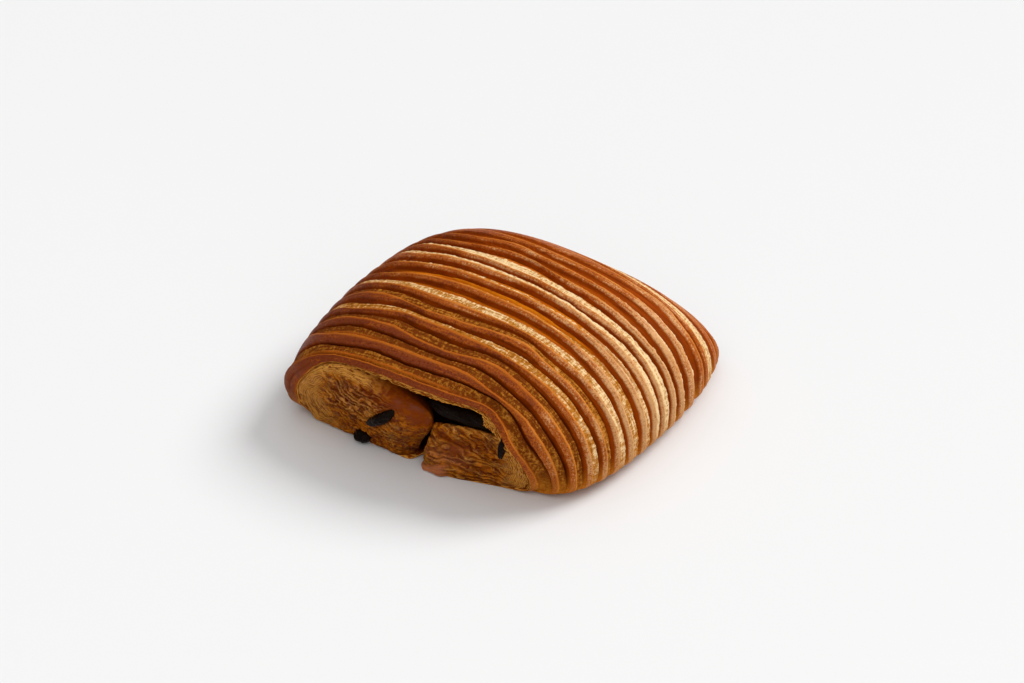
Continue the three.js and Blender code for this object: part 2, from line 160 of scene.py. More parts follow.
# How dark the crust is baked at least, and how much more in each of these places, which begin
# between two angles or two places along the roll.
BAKE = {"least": 0.04, "crown": 0.38, "left": 0.32, "front": 0.56, "right_back": 0.42, "back": 0.2}
BAKED_ROUND = {"crown": (34, 88), "left": (92, 140), "under": (185, 230), "right": (20, 60)}
BAKED_ALONG = {"front": (-54, -6), "back": (4, 34)}
BLOTCH = {"size": 0.14, "run": 14}
SPLITS = (3, 7, 10, 13)  # the skin's pieces meet at the bottoms of these ridges' grooves

# The open ends: the cut edge of the outer sheet, and two rolled lumps under it.
END_CENTRE = (6.0, 14.0)
LIP = 2.0
LIP_INSET = 0.5
LIP_UNDER = 0.4  # the sheet is this thin under the lumps
LIP_FLAKE = {"at": 27, "wide": 5, "size": 1.8}  # a torn flake hangs from the lip at this angle
LIP_LAYERS = {"run": 0.62, "high": 0.13, "worn": 0.22}  # relief of the leaves in the cut lip
LIP_FADE = {"low": 0.4, "high": 5.0}  # heights over the ground between which the lip thickens
# Each end's plane along the roll, the way it faces, its width and height against the front's, and
# its share of the front's lean.
FRONT_END = {"plane": -55.0, "facing": -1, "wide": 1.0, "high": 1.0, "lean": 1.194}
BACK_END = {"plane": 50.8, "facing": 1, "wide": 0.93, "high": 0.64, "lean": 0.0}
# How far the lumps are stretched across at the far end, and the share of the way to the lip from
# which they are pressed together.
BACK_STRETCH = {"left": 1.1, "right": 1.34, "from": 0.6}
END_BLEND = 0.6  # share of the way in over which the rim turns into the end's plane
POCKET = 14.0  # depth of the hollow that holds the lumps
ROLL_FACE = {"x": -12, "z": 14, "wide": 18, "high": 12, "bulge": 1.3, "inset": 0.8}
ROLL_TURN = {"run": 8, "round": 3.2}
ROLL_SIDE = {"x": 5.8, "z": 17.5, "above": 0.2, "foot": -1.8, "low": 1.5}
BLOCK_FACE = {"low": 0.4, "lean": 2.2, "high": 20, "edge": 2.4, "round": 1.2}
BLOCK_SIDE = {"low": 2.0, "high": 6.9, "from": 2, "to": 20.5}
BLOCK_TOP = {"z": 17.4, "rise": 4.6, "x": 7.0, "run": 9.0, "to": 34.0}
# The lumps lie under the lip between these angles, and a little into it.
UNDER_LIP = {"roll": (200, 115), "block": (34, -20), "into": 0.1}
GROUND = 0.1  # height at which the lumps and the drop end below
# Behind its face the left lump draws back to the left, more from one x to the other, and the right
# one sinks, more from one height to the other, by this much a millimetre.
ROLL_PULL = {"rate": 0.75, "from": -8, "to": 2}
BLOCK_SINK = {"rate": 0.6, "most": 8, "from": 10, "to": 18}
CORNER = {"roll": 0.9, "block": 0.4}  # softening of the outlines' corners
# Relief of the lumps: wound leaves, and torn flakes that are higher where the dough breaks up.
LEAVES = {"run": 0.95, "high": 0.34}
WOUND = {"left": (-36, -27), "right": (26, 34)}  # x between which the flakes become wound leaves
RIND = {"near": (1.6, 3.4), "x": (-17, -7), "z": (9, 15)}  # leaves also show close under the lip here
ROLL_TORN = {"plain": 0.45, "broken": 0.75, "rough": 0.30, "slant": 2.2}
BLOCK_TORN = {"plain": 0.95, "rough": 0.28, "level": 1.8, "slant": 3.6, "pit": 1.3}
# Spots on the lumps' faces: centre x and z, half sizes across and up, strength.
ROLL_GLOSS = [(-3, 22.5, 7.5, 5, 1.0), (3.5, 17, 3.5, 5, 0.9), (-14, 26.5, 7, 2, 0.5)]
ROLL_FLAKES = [(-15, 20.5, 11, 5, 1.0), (-23, 16, 6, 5, 0.7), (-8, 6.5, 6, 3.2, 0.6)]
# Darker spots on the left lump: the first two, on its right edge beside the gap between the lumps, are
# painted shade; the third runs along its foot.
ROLL_DARK_SPOTS = [(-3, 2, 4, 2.5, 1.0), (0, 8, 2.5, 4, 0.6), (-12, 0.5, 20, 1.2, 0.6)]
BLOCK_PIT = [(14.5, 12.5, 4.2, 2.6, 1.0), (23, 16.5, 4.0, 3.0, 0.7)]
# Darker spots on the right lump: along its foot, and one small spot.
BLOCK_DARK_SPOTS = [(22, 0.6, 12, 1.0, 0.8), (20, 5, 1.6, 1.6, 0.7)]
BLOCK_ROSE = [(11, 6.5, 8, 1.8, 0.9), (15, 10.5, 5, 1.2, 0.7)]
SLAB = {"from": 2.0, "to": 12.0, "low": 1.2, "rise": 0.33, "out": 1.7}  # along the right lump's foot
SEAM = {"x": 0.8, "half": 2.2, "depth": 5.5, "run": 16, "lift": 1.2, "fade": 4}

# Chocolate.
BATON_RIGHT = {"x": 17.0, "z": 23.0, "half": 13.8, "thick": 2.9, "tilt": 4, "blunt": 2.6, "end": -50.2}
BATON_LEFT = {"x": -9.8, "z": 15.0, "half": 7.2, "thick": 2.1, "tilt": 40, "blunt": 1.5, "end": -56.4}
BATON_BACK = {"x": 0.94, "z": 0.58, "size": 0.78, "end": 48.6}
BATON_DOME = 3.2  # length of the batons' domed ends
BATON_EDGE = 2.2  # power of their section across the thickness
DRIP = {"at": (-19.8, -50.9, 2.6), "half": (2.9, 2.3, 2.1), "lean": 0.0}
SMEAR = {"at": (32.4, -50.9, 19.3), "half": (1.15, 1.6, 4.0), "lean": 0.14}

# Camera, at the photograph's angle.
VIEW = {"azimuth": 35.2, "elevation": 33.0, "distance": 0.7651, "lens": 85.0}
AIM = (-5.74, 9.62, 10.67)
# Directions to the lights, as shares of the camera's right, of the way it looks and of up, and the
# angles in radians over which they spread.
KEY_LIGHT = {"from": (0.85, 0.45, 0.85), "spread": 0.5}
FILL_LIGHT = {"from": (0.1, -0.8, 0.56), "spread": 1.2}
SKY_RISE = (0.35, 0.9)  # heights in the sky between which it brightens
FLOOR_HALF = 3.0

# Fineness of the meshes.
COLUMNS = 760
RIM_STEP = 0.36  # about the distance between two columns
FLAT_SHARE = 0.35  # of the columns on the flat underside, against the rest
WALL_ROWS = (0.0, 0.18, 0.36, 0.54, 0.72, 0.88)
BAND_ROWS = (0.0, 0.07, 0.2, 0.36, 0.54, 0.72, 0.84, 0.93)
# Rings of the hollow behind the lip: how far they lie inside it, and how deep.
HOLLOW_RINGS = ((0.18, 1.0), (0.26, 2.0), (0.3, 3.5), (0.34, 5.5), (0.36, 8.0), (0.4, 11.0))
LUMP_COLUMNS = 460
LUMP_ROWS = {"front": 132, "back": 60}
LUMP_BACKS = (0.6, 1.4, 2.6, 4.2, 6.4, 9.0, 11.5)
BATON_GRID = {"dome": 22, "middle": 14, "round": 120}
DRIP_GRID = {"along": 36, "round": 64}


def smooth(low, high, v):
    """Rises from 0 at low to 1 at high as 3t^2 - 2t^3."""
    t = np.clip((v - low) / (high - low), 0, 1)
    return t * t * (3 - 2 * t)


def between(v, low, full, last, high):
    """Rises from 0 to 1 between the first two places, and falls back to 0 between the others."""
    return smooth(low, full, v) * (1 - smooth(last, high, v))


def gauss(v):
    """A bell that is 1 at 0 and e^-1 at 1."""
    return np.exp(-v * v)


def power(v, exponent):
    """A power that keeps the sign of v."""
    return np.sign(v) * np.abs(v) ** exponent


def lerp(a, b, t):
    """The point a share t of the way from a to b."""
    return a + (b - a) * t


def lattice(i, j, seed):
    """A number from -1 to 1 for each whole place (i, j), scattered by a large sine."""
    h = np.sin(i * 127.1 + j * 311.7 + seed * 74.7) * 43758.5453
    return 2 * (h - np.floor(h)) - 1


def noise(u, v, seed):
    """Smooth unevenness from -1 to 1: lattice values blended between whole places."""
    u, v = np.broadcast_arrays(np.asarray(u, float), np.asarray(v, float))
    i, j = np.floor(u), np.floor(v)
    a, b = smooth(0, 1, u - i), smooth(0, 1, v - j)
    low = lerp(lattice(i, j, seed), lattice(i + 1, j, seed), a)
    high = lerp(lattice(i, j + 1, seed), lattice(i + 1, j + 1, seed), a)
    return lerp(low, high, b)


def ragged(u, v, seed, octaves=3):
    """Noise summed over octaves, each half as large and twice as fine as the last."""
    total = 0
    for k in range(octaves):
        total = total + noise(u * 2**k, v * 2**k, seed + 7 * k) / 2**k
    return total


def overhang(x, z):
    """How far the front end lies back at x and z: most at its base and at the right corner."""
    high = lerp(LEAN["left"], LEAN["right"], smooth(LEAN_TURN["from"], LEAN_TURN["to"], x))
    low = 1 - smooth(0, 1, z / high)
    return low * (LEAN["base"] + LEAN["foot"] * smooth(LEAN["from"], LEAN["to"], x))


def envelope(s, degrees):
    """The form over the crests. s runs from -1 at the front to 1 at the back. The section is a
    superellipse, flat below, whose width and height fall off as powers of s, and whose front
    leans over its base."""
    s, degrees = np.broadcast_arrays(np.asarray(s, float), np.asarray(degrees, float))
    c, up = np.cos(np.radians(degrees)), np.sin(np.radians(degrees))
    side = {key: np.where(c > 0, RIGHT[key], LEFT[key]) for key in RIGHT}
    reach = np.abs(s)
    front_fall = (1 - side["front"]) * reach ** side["fall"]
    back_fall = (1 - side["back"]) * reach**BACK_FALL
    half = WIDTH / 2 * (1 - np.where(s < 0, front_fall, back_fall))
    front_drop = (1 - HEIGHT_FRONT["share"]) * reach ** HEIGHT_FRONT["fall"]
    back_drop = (1 - HEIGHT_BACK["share"]) * reach ** HEIGHT_BACK["fall"]
    high = HEIGHT * (1 - np.where(s < 0, front_drop, back_drop))
    widest = WIDEST_AT * high
    front = np.clip(-s, 0, LEAN["reach"])
    squarer = side["square"] * front**4
    crown = up > 0
    x = half * power(c, np.where(crown, 2 / (side["side"] + squarer), 2 / BASE_CORNER))
    above = widest + (high - widest) * np.abs(up) ** (2 / (side["crown"] + squarer / 5))
    below = np.maximum(0, widest * (1 - BASE_FLAT * np.abs(up) ** (2 / BASE_CORNER)))
    z = np.where(crown, above, below)
    y = s * BODY_LENGTH / 2 + SKEW * x + overhang(x, z) * front**6
    y = y + SHOULDER["back"] * front**8 * gauss((degrees - SHOULDER["at"]) / SHOULDER["width"])
    return np.stack([x, y, z], -1)


def outward(s, degrees):
    """The outward direction of the envelope, from its slopes along and round it."""
    along = envelope(s + 0.004, degrees) - envelope(s - 0.004, degrees)
    around = envelope(s, degrees + 0.4) - envelope(s, degrees - 0.4)
    normal = np.cross(along, around)
    return normal / np.linalg.norm(normal, axis=-1, keepdims=True)


def section_columns(count):
    """Angles whose points lie evenly round the middle section, sparser where it is flat below,
    and their distances along the section."""
    dense = np.linspace(-90, 270, 7201)
    points = envelope(0.0, dense)[:, [0, 2]]
    steps = np.linalg.norm(np.diff(points, axis=0), axis=1)
    arc = np.concatenate([[0], np.cumsum(steps)])
    weights = steps * np.where(points[1:, 1] < 0.01, FLAT_SHARE, 1.0)
    spread = np.concatenate([[0], np.cumsum(weights)])
    wanted = np.linspace(0, spread[-1], count, endpoint=False)
    degrees = np.interp(wanted, spread, dense)
    return degrees, np.interp(degrees, dense, arc)


def crest(n, degrees, arc):
    """Place of ridge n's crest along the roll: its own place, its bends and a fine wobble along
    the section."""
    y = RIDGES[n][PLACE] + 0 * degrees
    for ridge, at, shift, width in BENDS:
        if ridge == n + 1:
            y = y + shift * gauss((degrees - at) / width)
    torn = TORN_CREST["size"] if n + 1 >= TORN_CREST["from"] else 0
    y = y + WOBBLE["size"] * noise(arc / WOBBLE["run"], n * 3.3, 5)
    y = y + WOBBLE["size"] / 2 * noise(arc / WOBBLE["fine_run"], n * 5.1, 6)
    return y + torn * ragged(arc / TORN_CREST["run"], n * 2.3, 7, 2)


def rim_form(degrees):
    """Width of the first band along the roll, and how far it curls in over the left of the end."""
    left = between(degrees, *CURLED)
    right = 1 - smooth(FIRST_BAND["from"], FIRST_BAND["to"], degrees)
    wide = lerp(lerp(FIRST_BAND["crown"], FIRST_BAND["right"], right), FIRST_BAND["left"], left)
    return wide, FIRST_BAND["curl"] * left


def inward(points):
    """Directions in x and z from points of the front section towards its middle."""
    to_centre = np.array(END_CENTRE) - points[..., [0, 2]]
    return to_centre / np.linalg.norm(to_centre, axis=-1, keepdims=True)


class SkinRows:
    """Rows of the skin, front to back: place along the roll, drop under the crests, how far the
    row curls in over the end, and its masks: how much it belongs to the band, edge and strip of its
    ridge, how much painted shade darkens it in its groove, and how pale its strip and how amber its wall
    is."""

    MASKS = ("band", "edge", "strip", "groove", "pale", "amber")

    def __init__(self, degrees, arc, depth, roughness):
        self.degrees = degrees
        self.arc = arc
        self.depth = depth
        self.roughness = roughness
        self.flank = between(degrees, *FLANK)
        self.crown = between(degrees, *CROWN)
        self.rows = []

    def tearing(self, name, place, seed):
        """Ragged relief of one kind of tearing, which has its own size round the roll and along it."""
        around, along = TEARING[name]
        return ragged(self.arc / around, place / along, seed)

    def add(self, place, drop, curl=0.0, **masks):
        """Keeps one row. A strip's row is torn: pale ones in fibres that run along the roll,
        brown ones in crumbs."""
        flat = np.zeros_like(self.degrees)
        patchy = 0.6 + 0.55 * noise(self.arc / TEARING["patch"], place / TEARING["patch"], 17)
        fibres = patchy * self.tearing("fibre", place, 11)
        crumbs = self.tearing("crumb", place, 12) + 0.7 * self.tearing("blister", place, 13)
        torn = fibres + lerp(0.8, 0.5, masks.get("pale", 0.0)) * crumbs
        drop = drop + flat + masks.get("strip", 0.0) * self.roughness * torn
        values = [masks.get(name, 0.0) for name in self.MASKS]
        self.rows.append([value + flat for value in (place, drop, curl, *values)])

    def teeth(self, n, seed):
        """Small unevenness of one edge along the section."""
        fine = TEETH["fine"] * noise(self.arc / TEETH["fine_run"], n * 7.7, seed)
        return fine + TEETH["coarse"] * noise(self.arc / TEETH["coarse_run"], n * 3.1, seed + 1)

    def shares(self, n):
        """Shares of the step to the next crest that the strip and the wall behind crest n take."""
        crown_strip, crown_wall, flank_strip, flank_wall = RIDGES[n][PLACE + 1:PALE]
        uneven = 1 + 0.16 * noise(self.arc / 13, n * 4.7, 14)
        strip = lerp(crown_strip, flank_strip, self.flank) * uneven
        wall = lerp(crown_wall, flank_wall, self.flank) * (1 + 0.14 * noise(self.arc / 11, n * 2.9, 15))
        return strip, wall

    def lapped(self, n):
        """How much the wall behind crest n is amber and sinks towards the next band."""
        return RIDGES[n][AMBER] * self.crown

    def fold(self, n, behind):
        """Height of the thin folds at a distance behind crest n."""
        total = 0 * self.degrees
        for ridge, at, height, half, start, stop in FOLDS:
            if ridge == n + 1:
                run = between(self.degrees, start, start + FOLD_END, stop - FOLD_END, stop)
                total = total + height * run * gauss((behind - at) / half)
        return total

    def rim(self):
        """The first band, from the rim back to the first crest."""
        end = crest(0, self.degrees, self.arc)
        wide, curl = rim_form(self.degrees)
        turns = np.radians(np.linspace(82, 6, 10))
        for turn in turns:
            share = math.sin(turn) / math.sin(turns[0])
            over = (1 - math.cos(turn)) / (1 - math.cos(turns[0]))
            at_rim = turn == turns[0]
            # Painted shade along the crease of the curled band, through the groove mask.
            crease = curl / FIRST_BAND["curl"] * gauss((over - CREASE["at"]) / CREASE["half"])
            drop = RIM_DROP * share + CREASE["depth"] * crease
            masks = {"band": (1.0 - at_rim) * (1 - 0.8 * crease), "edge": 0.5 * at_rim}
            self.add(end - wide * share, drop, curl * over, groove=crease, **masks)

    def strip(self, n):
        """From a crest over the torn strip behind it to the notch before the groove."""
        here, step = self.step(n)
        strip = self.shares(n)[0]
        pale, late = RIDGES[n][PALE], RIDGES[n][LATE]
        back = EDGE["back"] + 0.5 * self.teeth(n, 23)
        beads = pale * late * BEADS["size"] * np.abs(noise(self.arc / BEADS["run"], n * 1.9, 24))
        wide = np.maximum(strip * step, STRIP_LEAST) + beads
        early_drop = EARLY_GROOVE * self.depth
        end_drop = lerp(STRIP_DROP["brown"], STRIP_DROP["pale"], pale)
        self.add(here, 0.0, edge=1.0)
        self.add(here + back, EDGE["drop"], edge=1.0)
        low = lerp(0.8 * early_drop, STRIP_TOP, late)
        # Painted shade where the groove lies straight behind the crest.
        masks = {"edge": 0.4 * late, "strip": 0.6 * late, "groove": 0.7 * (1 - late), "pale": pale}
        self.add(here + EDGE["foot"], low, **masks)
        for q in np.linspace(0.16, 1.0, 8):
            place = here + np.maximum(wide * q, 0.4 + 0.2 * q)
            early = lerp(early_drop, SHELF_TOP, smooth(0.1, 1.0, q))
            drop = lerp(early, lerp(STRIP_TOP, end_drop, q), late)
            fold = self.fold(n, place - here)
            torn = 1 - 0.85 * np.clip(fold / 0.4, 0, 1)
            # Painted shade in that early groove, fading back along the strip.
            dark = 0.8 * (1 - late) * (1 - smooth(0.16, 0.4, q))
            masks = {"edge": 0.9 * (1 - torn), "strip": (1 - dark) * torn, "groove": dark}
            self.add(place, drop - fold, pale=pale, **masks)
        self.notch(n, here + wide + 0.35 * GROOVE_RUN * step, 0.8, 0.6)

    def groove(self, n):
        """The bottom of the groove in front of the next band."""
        here, step = self.step(n)
        self.notch(n, here + (self.shares(n)[0] + 0.8 * GROOVE_RUN) * step, 1.08, 1)

    def notch(self, n, place, share, dark):
        """One row of the groove, at a share of its depth. A lapped wall has no groove there."""
        lapped = self.lapped(n)
        bottom = lerp(SHELF_TOP + SHELF_NOTCH, share * self.depth, RIDGES[n][LATE])
        # Painted shade at the groove's bottom, none on a lapped wall.
        self.add(place, lerp(bottom, OVERLAP["top"], lapped), groove=dark * (1 - lapped), amber=lapped)

    def wall(self, n):
        """From the groove up the smooth wall, or down a lapped one, and over the next band, which
        rises from a sharp ledge to its crest."""
        here, step = self.step(n)
        strip, wall = self.shares(n)
        foot = strip + GROOVE_RUN
        low = lerp(SHELF_TOP + 0.8 * SHELF_NOTCH, self.depth, RIDGES[n][LATE])
        top = here + (strip + wall) * step + self.teeth(n, 27)
        start = here + foot * step
        top = np.maximum(top, start + WALL_LEAST)
        back = here + step
        lapped = self.lapped(n)
        shaded = self.flank * (n + 1 >= WALL_SHADE["from"])
        for q in WALL_ROWS:
            place = lerp(start, top, q)
            sunk = lerp(OVERLAP["top"], OVERLAP["low"], smooth(0, 0.95, q))
            drop = lerp(lerp(low, WALL_TOP_DROP, q**0.85), sunk, lapped) - self.fold(n, place - here)
            # Painted shade at the wall's foot, under the ledge of a lapped wall, and over the flank's
            # walls from the ninth crest on.
            groove = lerp(0.6 * (1 - q) ** 1.5, 0.2 * smooth(0.6, 1.0, q), lapped)
            groove = np.maximum(groove, WALL_SHADE["groove"] * shaded)
            self.add(place, drop, groove=groove, amber=lapped * (1 - smooth(0.25, 0.85, q)))
        ledge_run = np.minimum(LEDGE["run"], 0.3 * (back - top))
        self.add(top, WALL_TOP_DROP)
        for q in BAND_ROWS:
            rim = lerp(smooth(0.8, 0.93, q), 0.85 * smooth(0.6, 0.93, q), shaded)
            rim = np.maximum(rim, 0.9 * self.crown * smooth(0.66, 0.84, q))
            self.add(lerp(top + ledge_run, back, q), LEDGE["drop"] * (1 - q) ** 1.5, band=1.0, edge=rim)

    def tail(self):
        """The last crest and what lies behind it, up to the far rim."""
        end = crest(len(RIDGES) - 1, self.degrees, self.arc)
        self.add(end, 0.0, band=0.5, edge=0.5)
        for q in np.linspace(0.2, 1.0, 5):
            drop = lerp(STRIP_TOP, STRIP_DROP["brown"], q)
            self.add(end + LAST_STRIP * q, drop, strip=1.0, pale=0.5)

    def step(self, n):
        """A crest's place and the step to the next one."""
        here = crest(n, self.degrees, self.arc)
        return here, crest(n + 1, self.degrees, self.arc) - here

    def surface(self):
        """Points and masks: each row's envelope point moved in by its drop, which fades out
        near the ground, with the seam drawn in where the rolls meet below."""
        place, drop, curl, *values = np.array(self.rows).transpose(1, 0, 2)
        s = 2 * place / BODY_LENGTH
        points = envelope(s, self.degrees)
        high = points[..., 2].copy()
        fade = smooth(FADE["low"], FADE["high"], high)
        fade = fade * lerp(1, FAR_DEPTH["share"], smooth(FAR_DEPTH["from"], FAR_DEPTH["to"], place))
        points = points - outward(s, self.degrees) * (drop * fade)[..., None]
        points[..., [0, 2]] += curl[..., None] * inward(points)
        seam = gauss((points[..., 0] - SEAM["x"]) / SEAM["half"])
        seam = seam * (1 - smooth(0, SEAM["fade"], points[..., 2]))
        front = np.exp(-np.maximum(0, place - FRONT_END["plane"]) / SEAM["run"])
        back = np.exp(-np.maximum(0, BACK_END["plane"] - place) / SEAM["run"])
        points[..., 1] += SEAM["depth"] * seam * (front - back)
        points[..., 2] = np.maximum(points[..., 2], 0) + SEAM["lift"] * seam
        clean = smooth(FADE["low"], 0.5 * FADE["high"], high)
        masks = {name: value * clean for name, value in zip(self.MASKS, values)}
        masks["foot"] = 1 - smooth(1.0, FOOT_TOP, high)
        masks["bake"] = baking(points, self.degrees)
        return points, masks


def baking(points, degrees):
    """How dark the crust is baked, 0 to 1: more at the front left, less at the right and back."""
    x, y = points[..., 0], points[..., 1]
    turned = {name: smooth(*angles, degrees) for name, angles in BAKED_ROUND.items()}
    left = (BAKE["crown"] * turned["crown"] + BAKE["left"] * turned["left"]) * (1 - turned["under"])
    front = 1 - smooth(*BAKED_ALONG["front"], y)
    back = lerp(BAKE["right_back"], BAKE["back"], turned["right"]) * smooth(*BAKED_ALONG["back"], y)
    blotch = BLOTCH["size"] * ragged(x / BLOTCH["run"], y / BLOTCH["run"], 31)
    return np.clip(BAKE["least"] + left + BAKE["front"] * front + back + blotch, 0, 1)


def over_ground(points, end):
    """0 to 1 with the height of the rim's points, because the sheet is thin under the lumps."""
    return smooth(LIP_FADE["low"], LIP_FADE["high"], points[:, 2] / end["high"])


def sheet_edge(rim, end):
    """The cut edge of the outer sheet and the hollow behind it, from the rim inwards: rings that
    go in towards the middle over the lip, then back along the roll, and close in the middle."""
    cx, cz = END_CENTRE[0] * end["wide"], END_CENTRE[1] * end["high"]
    to_centre = np.stack([cx - rim[:, 0], cz - rim[:, 2]], -1)
    far = np.linalg.norm(to_centre, axis=1)
    arc = np.arange(len(rim)) * RIM_STEP
    round_angle = np.degrees(np.arctan2(-to_centre[:, 1], -to_centre[:, 0]))
    flake = LIP_FLAKE["size"] * gauss((round_angle - LIP_FLAKE["at"]) / LIP_FLAKE["wide"])
    uneven = 1 + 0.14 * ragged(arc / 5.0, 0 * arc, 43) + 0.07 * ragged(arc / 1.1, 0 * arc, 44)
    full = LIP * uneven + flake
    thick = LIP_UNDER + (full - LIP_UNDER) * over_ground(rim, end)
    rings, masks = [], {"cut": [], "leaf": [], "deep": []}

    def ring(inset, depth, cut, deep):
        share = (inset * end["high"] / far)[:, None]
        x, z = (rim[:, [0, 2]] + to_centre * share).T
        plane = end["plane"] + end["lean"] * overhang(x / end["wide"], z / end["high"])
        base = lerp(rim[:, 1], plane, smooth(0, END_BLEND, share[:, 0]))
        rings.append(np.stack([x, base - end["facing"] * depth, z], -1))
        for key, value in (("cut", cut), ("leaf", inset), ("deep", deep)):
            masks[key].append(value + 0 * far)

    for q in np.linspace(0.06, 1.0, 13):
        inset = thick * q
        turn = 2 * np.pi * inset / LIP_LAYERS["run"] + 2 * noise(arc / 5, 0, 41)
        layers = LIP_LAYERS["high"] * np.sin(turn)
        worn = LIP_LAYERS["worn"] * ragged(arc / 1.5, inset / 0.8, 42)
        depth = LIP_INSET * smooth(0, LIP / 2, inset) + (layers + worn) * smooth(0, 0.4, inset)
        ring(inset, depth, 1.0, 0.0)
    # Deeper in the hollow the rings are painted darker, as painted shade.
    for beyond, depth in HOLLOW_RINGS:
        ring(thick + beyond, LIP_INSET + depth, 1 - smooth(0, 4, depth), smooth(0.5, 7, depth))
    ring(thick + 0.44, POCKET, 0.0, 1.0)
    ring(0.5 * far / end["high"], POCKET + 0.3, 0.0, 1.0)
    centre = np.array([cx, end["plane"] - end["facing"] * (POCKET + 1), cz])
    return np.array(rings), {key: np.array(rows) for key, rows in masks.items()}, centre


def mesh_object(name, vertices, faces, masks, material, nodes):
    """Puts a closed surface into a smooth mesh with its masks as attributes, on the body root."""
    mesh = bpy.data.meshes.new(name)
    mesh.from_pydata((vertices * MM).tolist(), [], faces)
    mesh.polygons.foreach_set("use_smooth", np.ones(len(mesh.polygons), bool))
    for key, values in masks.items():
        attribute = mesh.attributes.new(key, "FLOAT", "POINT")
        attribute.data.foreach_set("value", np.asarray(values, np.float32).ravel())
    mesh.materials.append(material)
    mesh.validate()
    piece = bpy.data.objects.new(name, mesh)
    bpy.context.scene.collection.objects.link(piece)
    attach(piece, "root")
    if nodes:
        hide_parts(*nodes)
    return piece


def closed_surface(name, rows, first, last, masks, material, slot, nodes=()):
    """A closed body from a grid of rows that each run round it, with a point at either end.
    Quads join the rows, and triangles join the outer rows to the end points."""
    count, columns = rows.shape[:2]
    vertices = np.concatenate([[first], rows.reshape(-1, 3), [last]])
    vertices[:, 1] += CENTRE_Y
    c = np.arange(columns)
    d = (c + 1) % columns
    r = 1 + columns * np.arange(count - 1)[:, None]
    quads = np.stack([r + c, r + columns + c, r + columns + d, r + d], -1).reshape(-1, 4)
    tail = 1 + columns * (count - 1)
    start = np.stack([0 * c, 1 + c, 1 + d], -1)
    stop = np.stack([0 * c + len(vertices) - 1, tail + d, tail + c], -1)
    faces = start.tolist() + quads.tolist() + stop.tolist()
    values = {}
    for key, mask in masks.items():
        values[key] = np.concatenate([[mask[0].mean()], mask.ravel(), [mask[-1].mean()]])
    return mesh_object(name, vertices, faces, values, material, nodes)


def join_masks(parts):
    """Stacks the masks of neighbouring grids. A mask that a grid lacks is 0 there."""
    joined = {}
    for name in sorted({name for masks, shape in parts for name in masks}):
        joined[name] = np.concatenate([masks.get(name, np.zeros(shape)) for masks, shape in parts])
    return joined


def skin_piece(name, surface, material, front_end=None, back_end=None):
    """One part of the skin as a closed body. An open end of the roll gets the sheet's cut edge
    and its hollow, and an end that meets the next part gets a flat wall inside."""
    points, masks = surface
    parts = [(points, masks)]
    ends = []
    for end, ring, at_front in ((front_end, points[0], True), (back_end, points[-1], False)):
        if end is None:
            middle = ring.mean(axis=0)
            rows = lerp(ring, middle, 0.5)[None]
            # The flat wall where two pieces meet gets the painted shade of the grooves.
            row_masks = {"groove": np.ones(rows.shape[:2])}
        else:
            rows, row_masks, middle = sheet_edge(ring, end)
        if at_front:
            rows = rows[::-1]
            row_masks = {key: value[::-1] for key, value in row_masks.items()}
            parts.insert(0, (rows, row_masks))
        else:
            parts.append((rows, row_masks))
        ends.append(middle)
    joined = join_masks([(values, rows.shape[:2]) for rows, values in parts])
    rows = np.concatenate([rows for rows, values in parts])
    return closed_surface(name, rows, *ends, joined, material, "crust", ["dough"])


def block_top(x):
    """Height of the right lump's top, which rises to a limit with x."""
    along = np.maximum(0, x - BLOCK_TOP["x"]) / BLOCK_TOP["run"]
    return BLOCK_TOP["z"] + BLOCK_TOP["rise"] * (1 - np.exp(-along))


def roll_side(z):
    """The left lump's right side: an arc over its widest height, drawn in below it."""
    over = ROLL_SIDE["x"] - ROLL_SIDE["above"] * (z - ROLL_SIDE["z"]) ** 2
    under = lerp(ROLL_SIDE["foot"], ROLL_SIDE["x"], smooth(ROLL_SIDE["low"], ROLL_SIDE["z"], z))
    return np.where(z > ROLL_SIDE["z"], over, under)


def block_side(z):
    """The right lump's left side, which leans in towards its foot."""
    return lerp(BLOCK_SIDE["low"], BLOCK_SIDE["high"], smooth(BLOCK_SIDE["from"], BLOCK_SIDE["to"], z))


def under_arch(start, stop):
    """Points x, z of the front rim between two angles, moved in by most of the lip's thickness."""
    degrees = np.linspace(start, stop, 90)
    wide, curl = rim_form(degrees)
    edge = envelope(2 * (RIDGES[0][PLACE] - wide) / BODY_LENGTH, degrees)
    return edge[:, [0, 2]] + (LIP - UNDER_LIP["into"] + curl)[:, None] * inward(edge)


def ground(start, stop):
    """Points x, z just over the ground, from one x to another."""
    x = np.linspace(start, stop, 40)
    return np.stack([x, 0 * x + GROUND], -1)


def even_outline(lines, soften):
    """A closed outline of lines end to end, with evenly spaced points, its corners rounded by a
    Gaussian along it."""
    closed = np.concatenate([*lines, lines[0][:1]])
    arc = np.concatenate([[0], np.cumsum(np.linalg.norm(np.diff(closed, axis=0), axis=1))])
    at = np.linspace(0, arc[-1], LUMP_COLUMNS, endpoint=False)
    line = np.stack([np.interp(at, arc, closed[:, k]) for k in (0, 1)], -1)
    frequency = np.fft.fftfreq(LUMP_COLUMNS, arc[-1] / LUMP_COLUMNS)
    damp = np.exp(-2 * (np.pi * frequency * soften) ** 2)[:, None]
    return np.fft.ifft(np.fft.fft(line, axis=0) * damp, axis=0).real


def roll_outline():
    """The left lump: under the arch, down its right side and along the ground."""
    arch = under_arch(*UNDER_LIP["roll"])
    z = np.linspace(arch[-1, 1] - 0.6, 0.4, 60)
    side = np.stack([roll_side(z), z], -1)
    return even_outline([arch, side, ground(side[-1, 0] - 1, arch[0, 0] + 2)], CORNER["roll"])


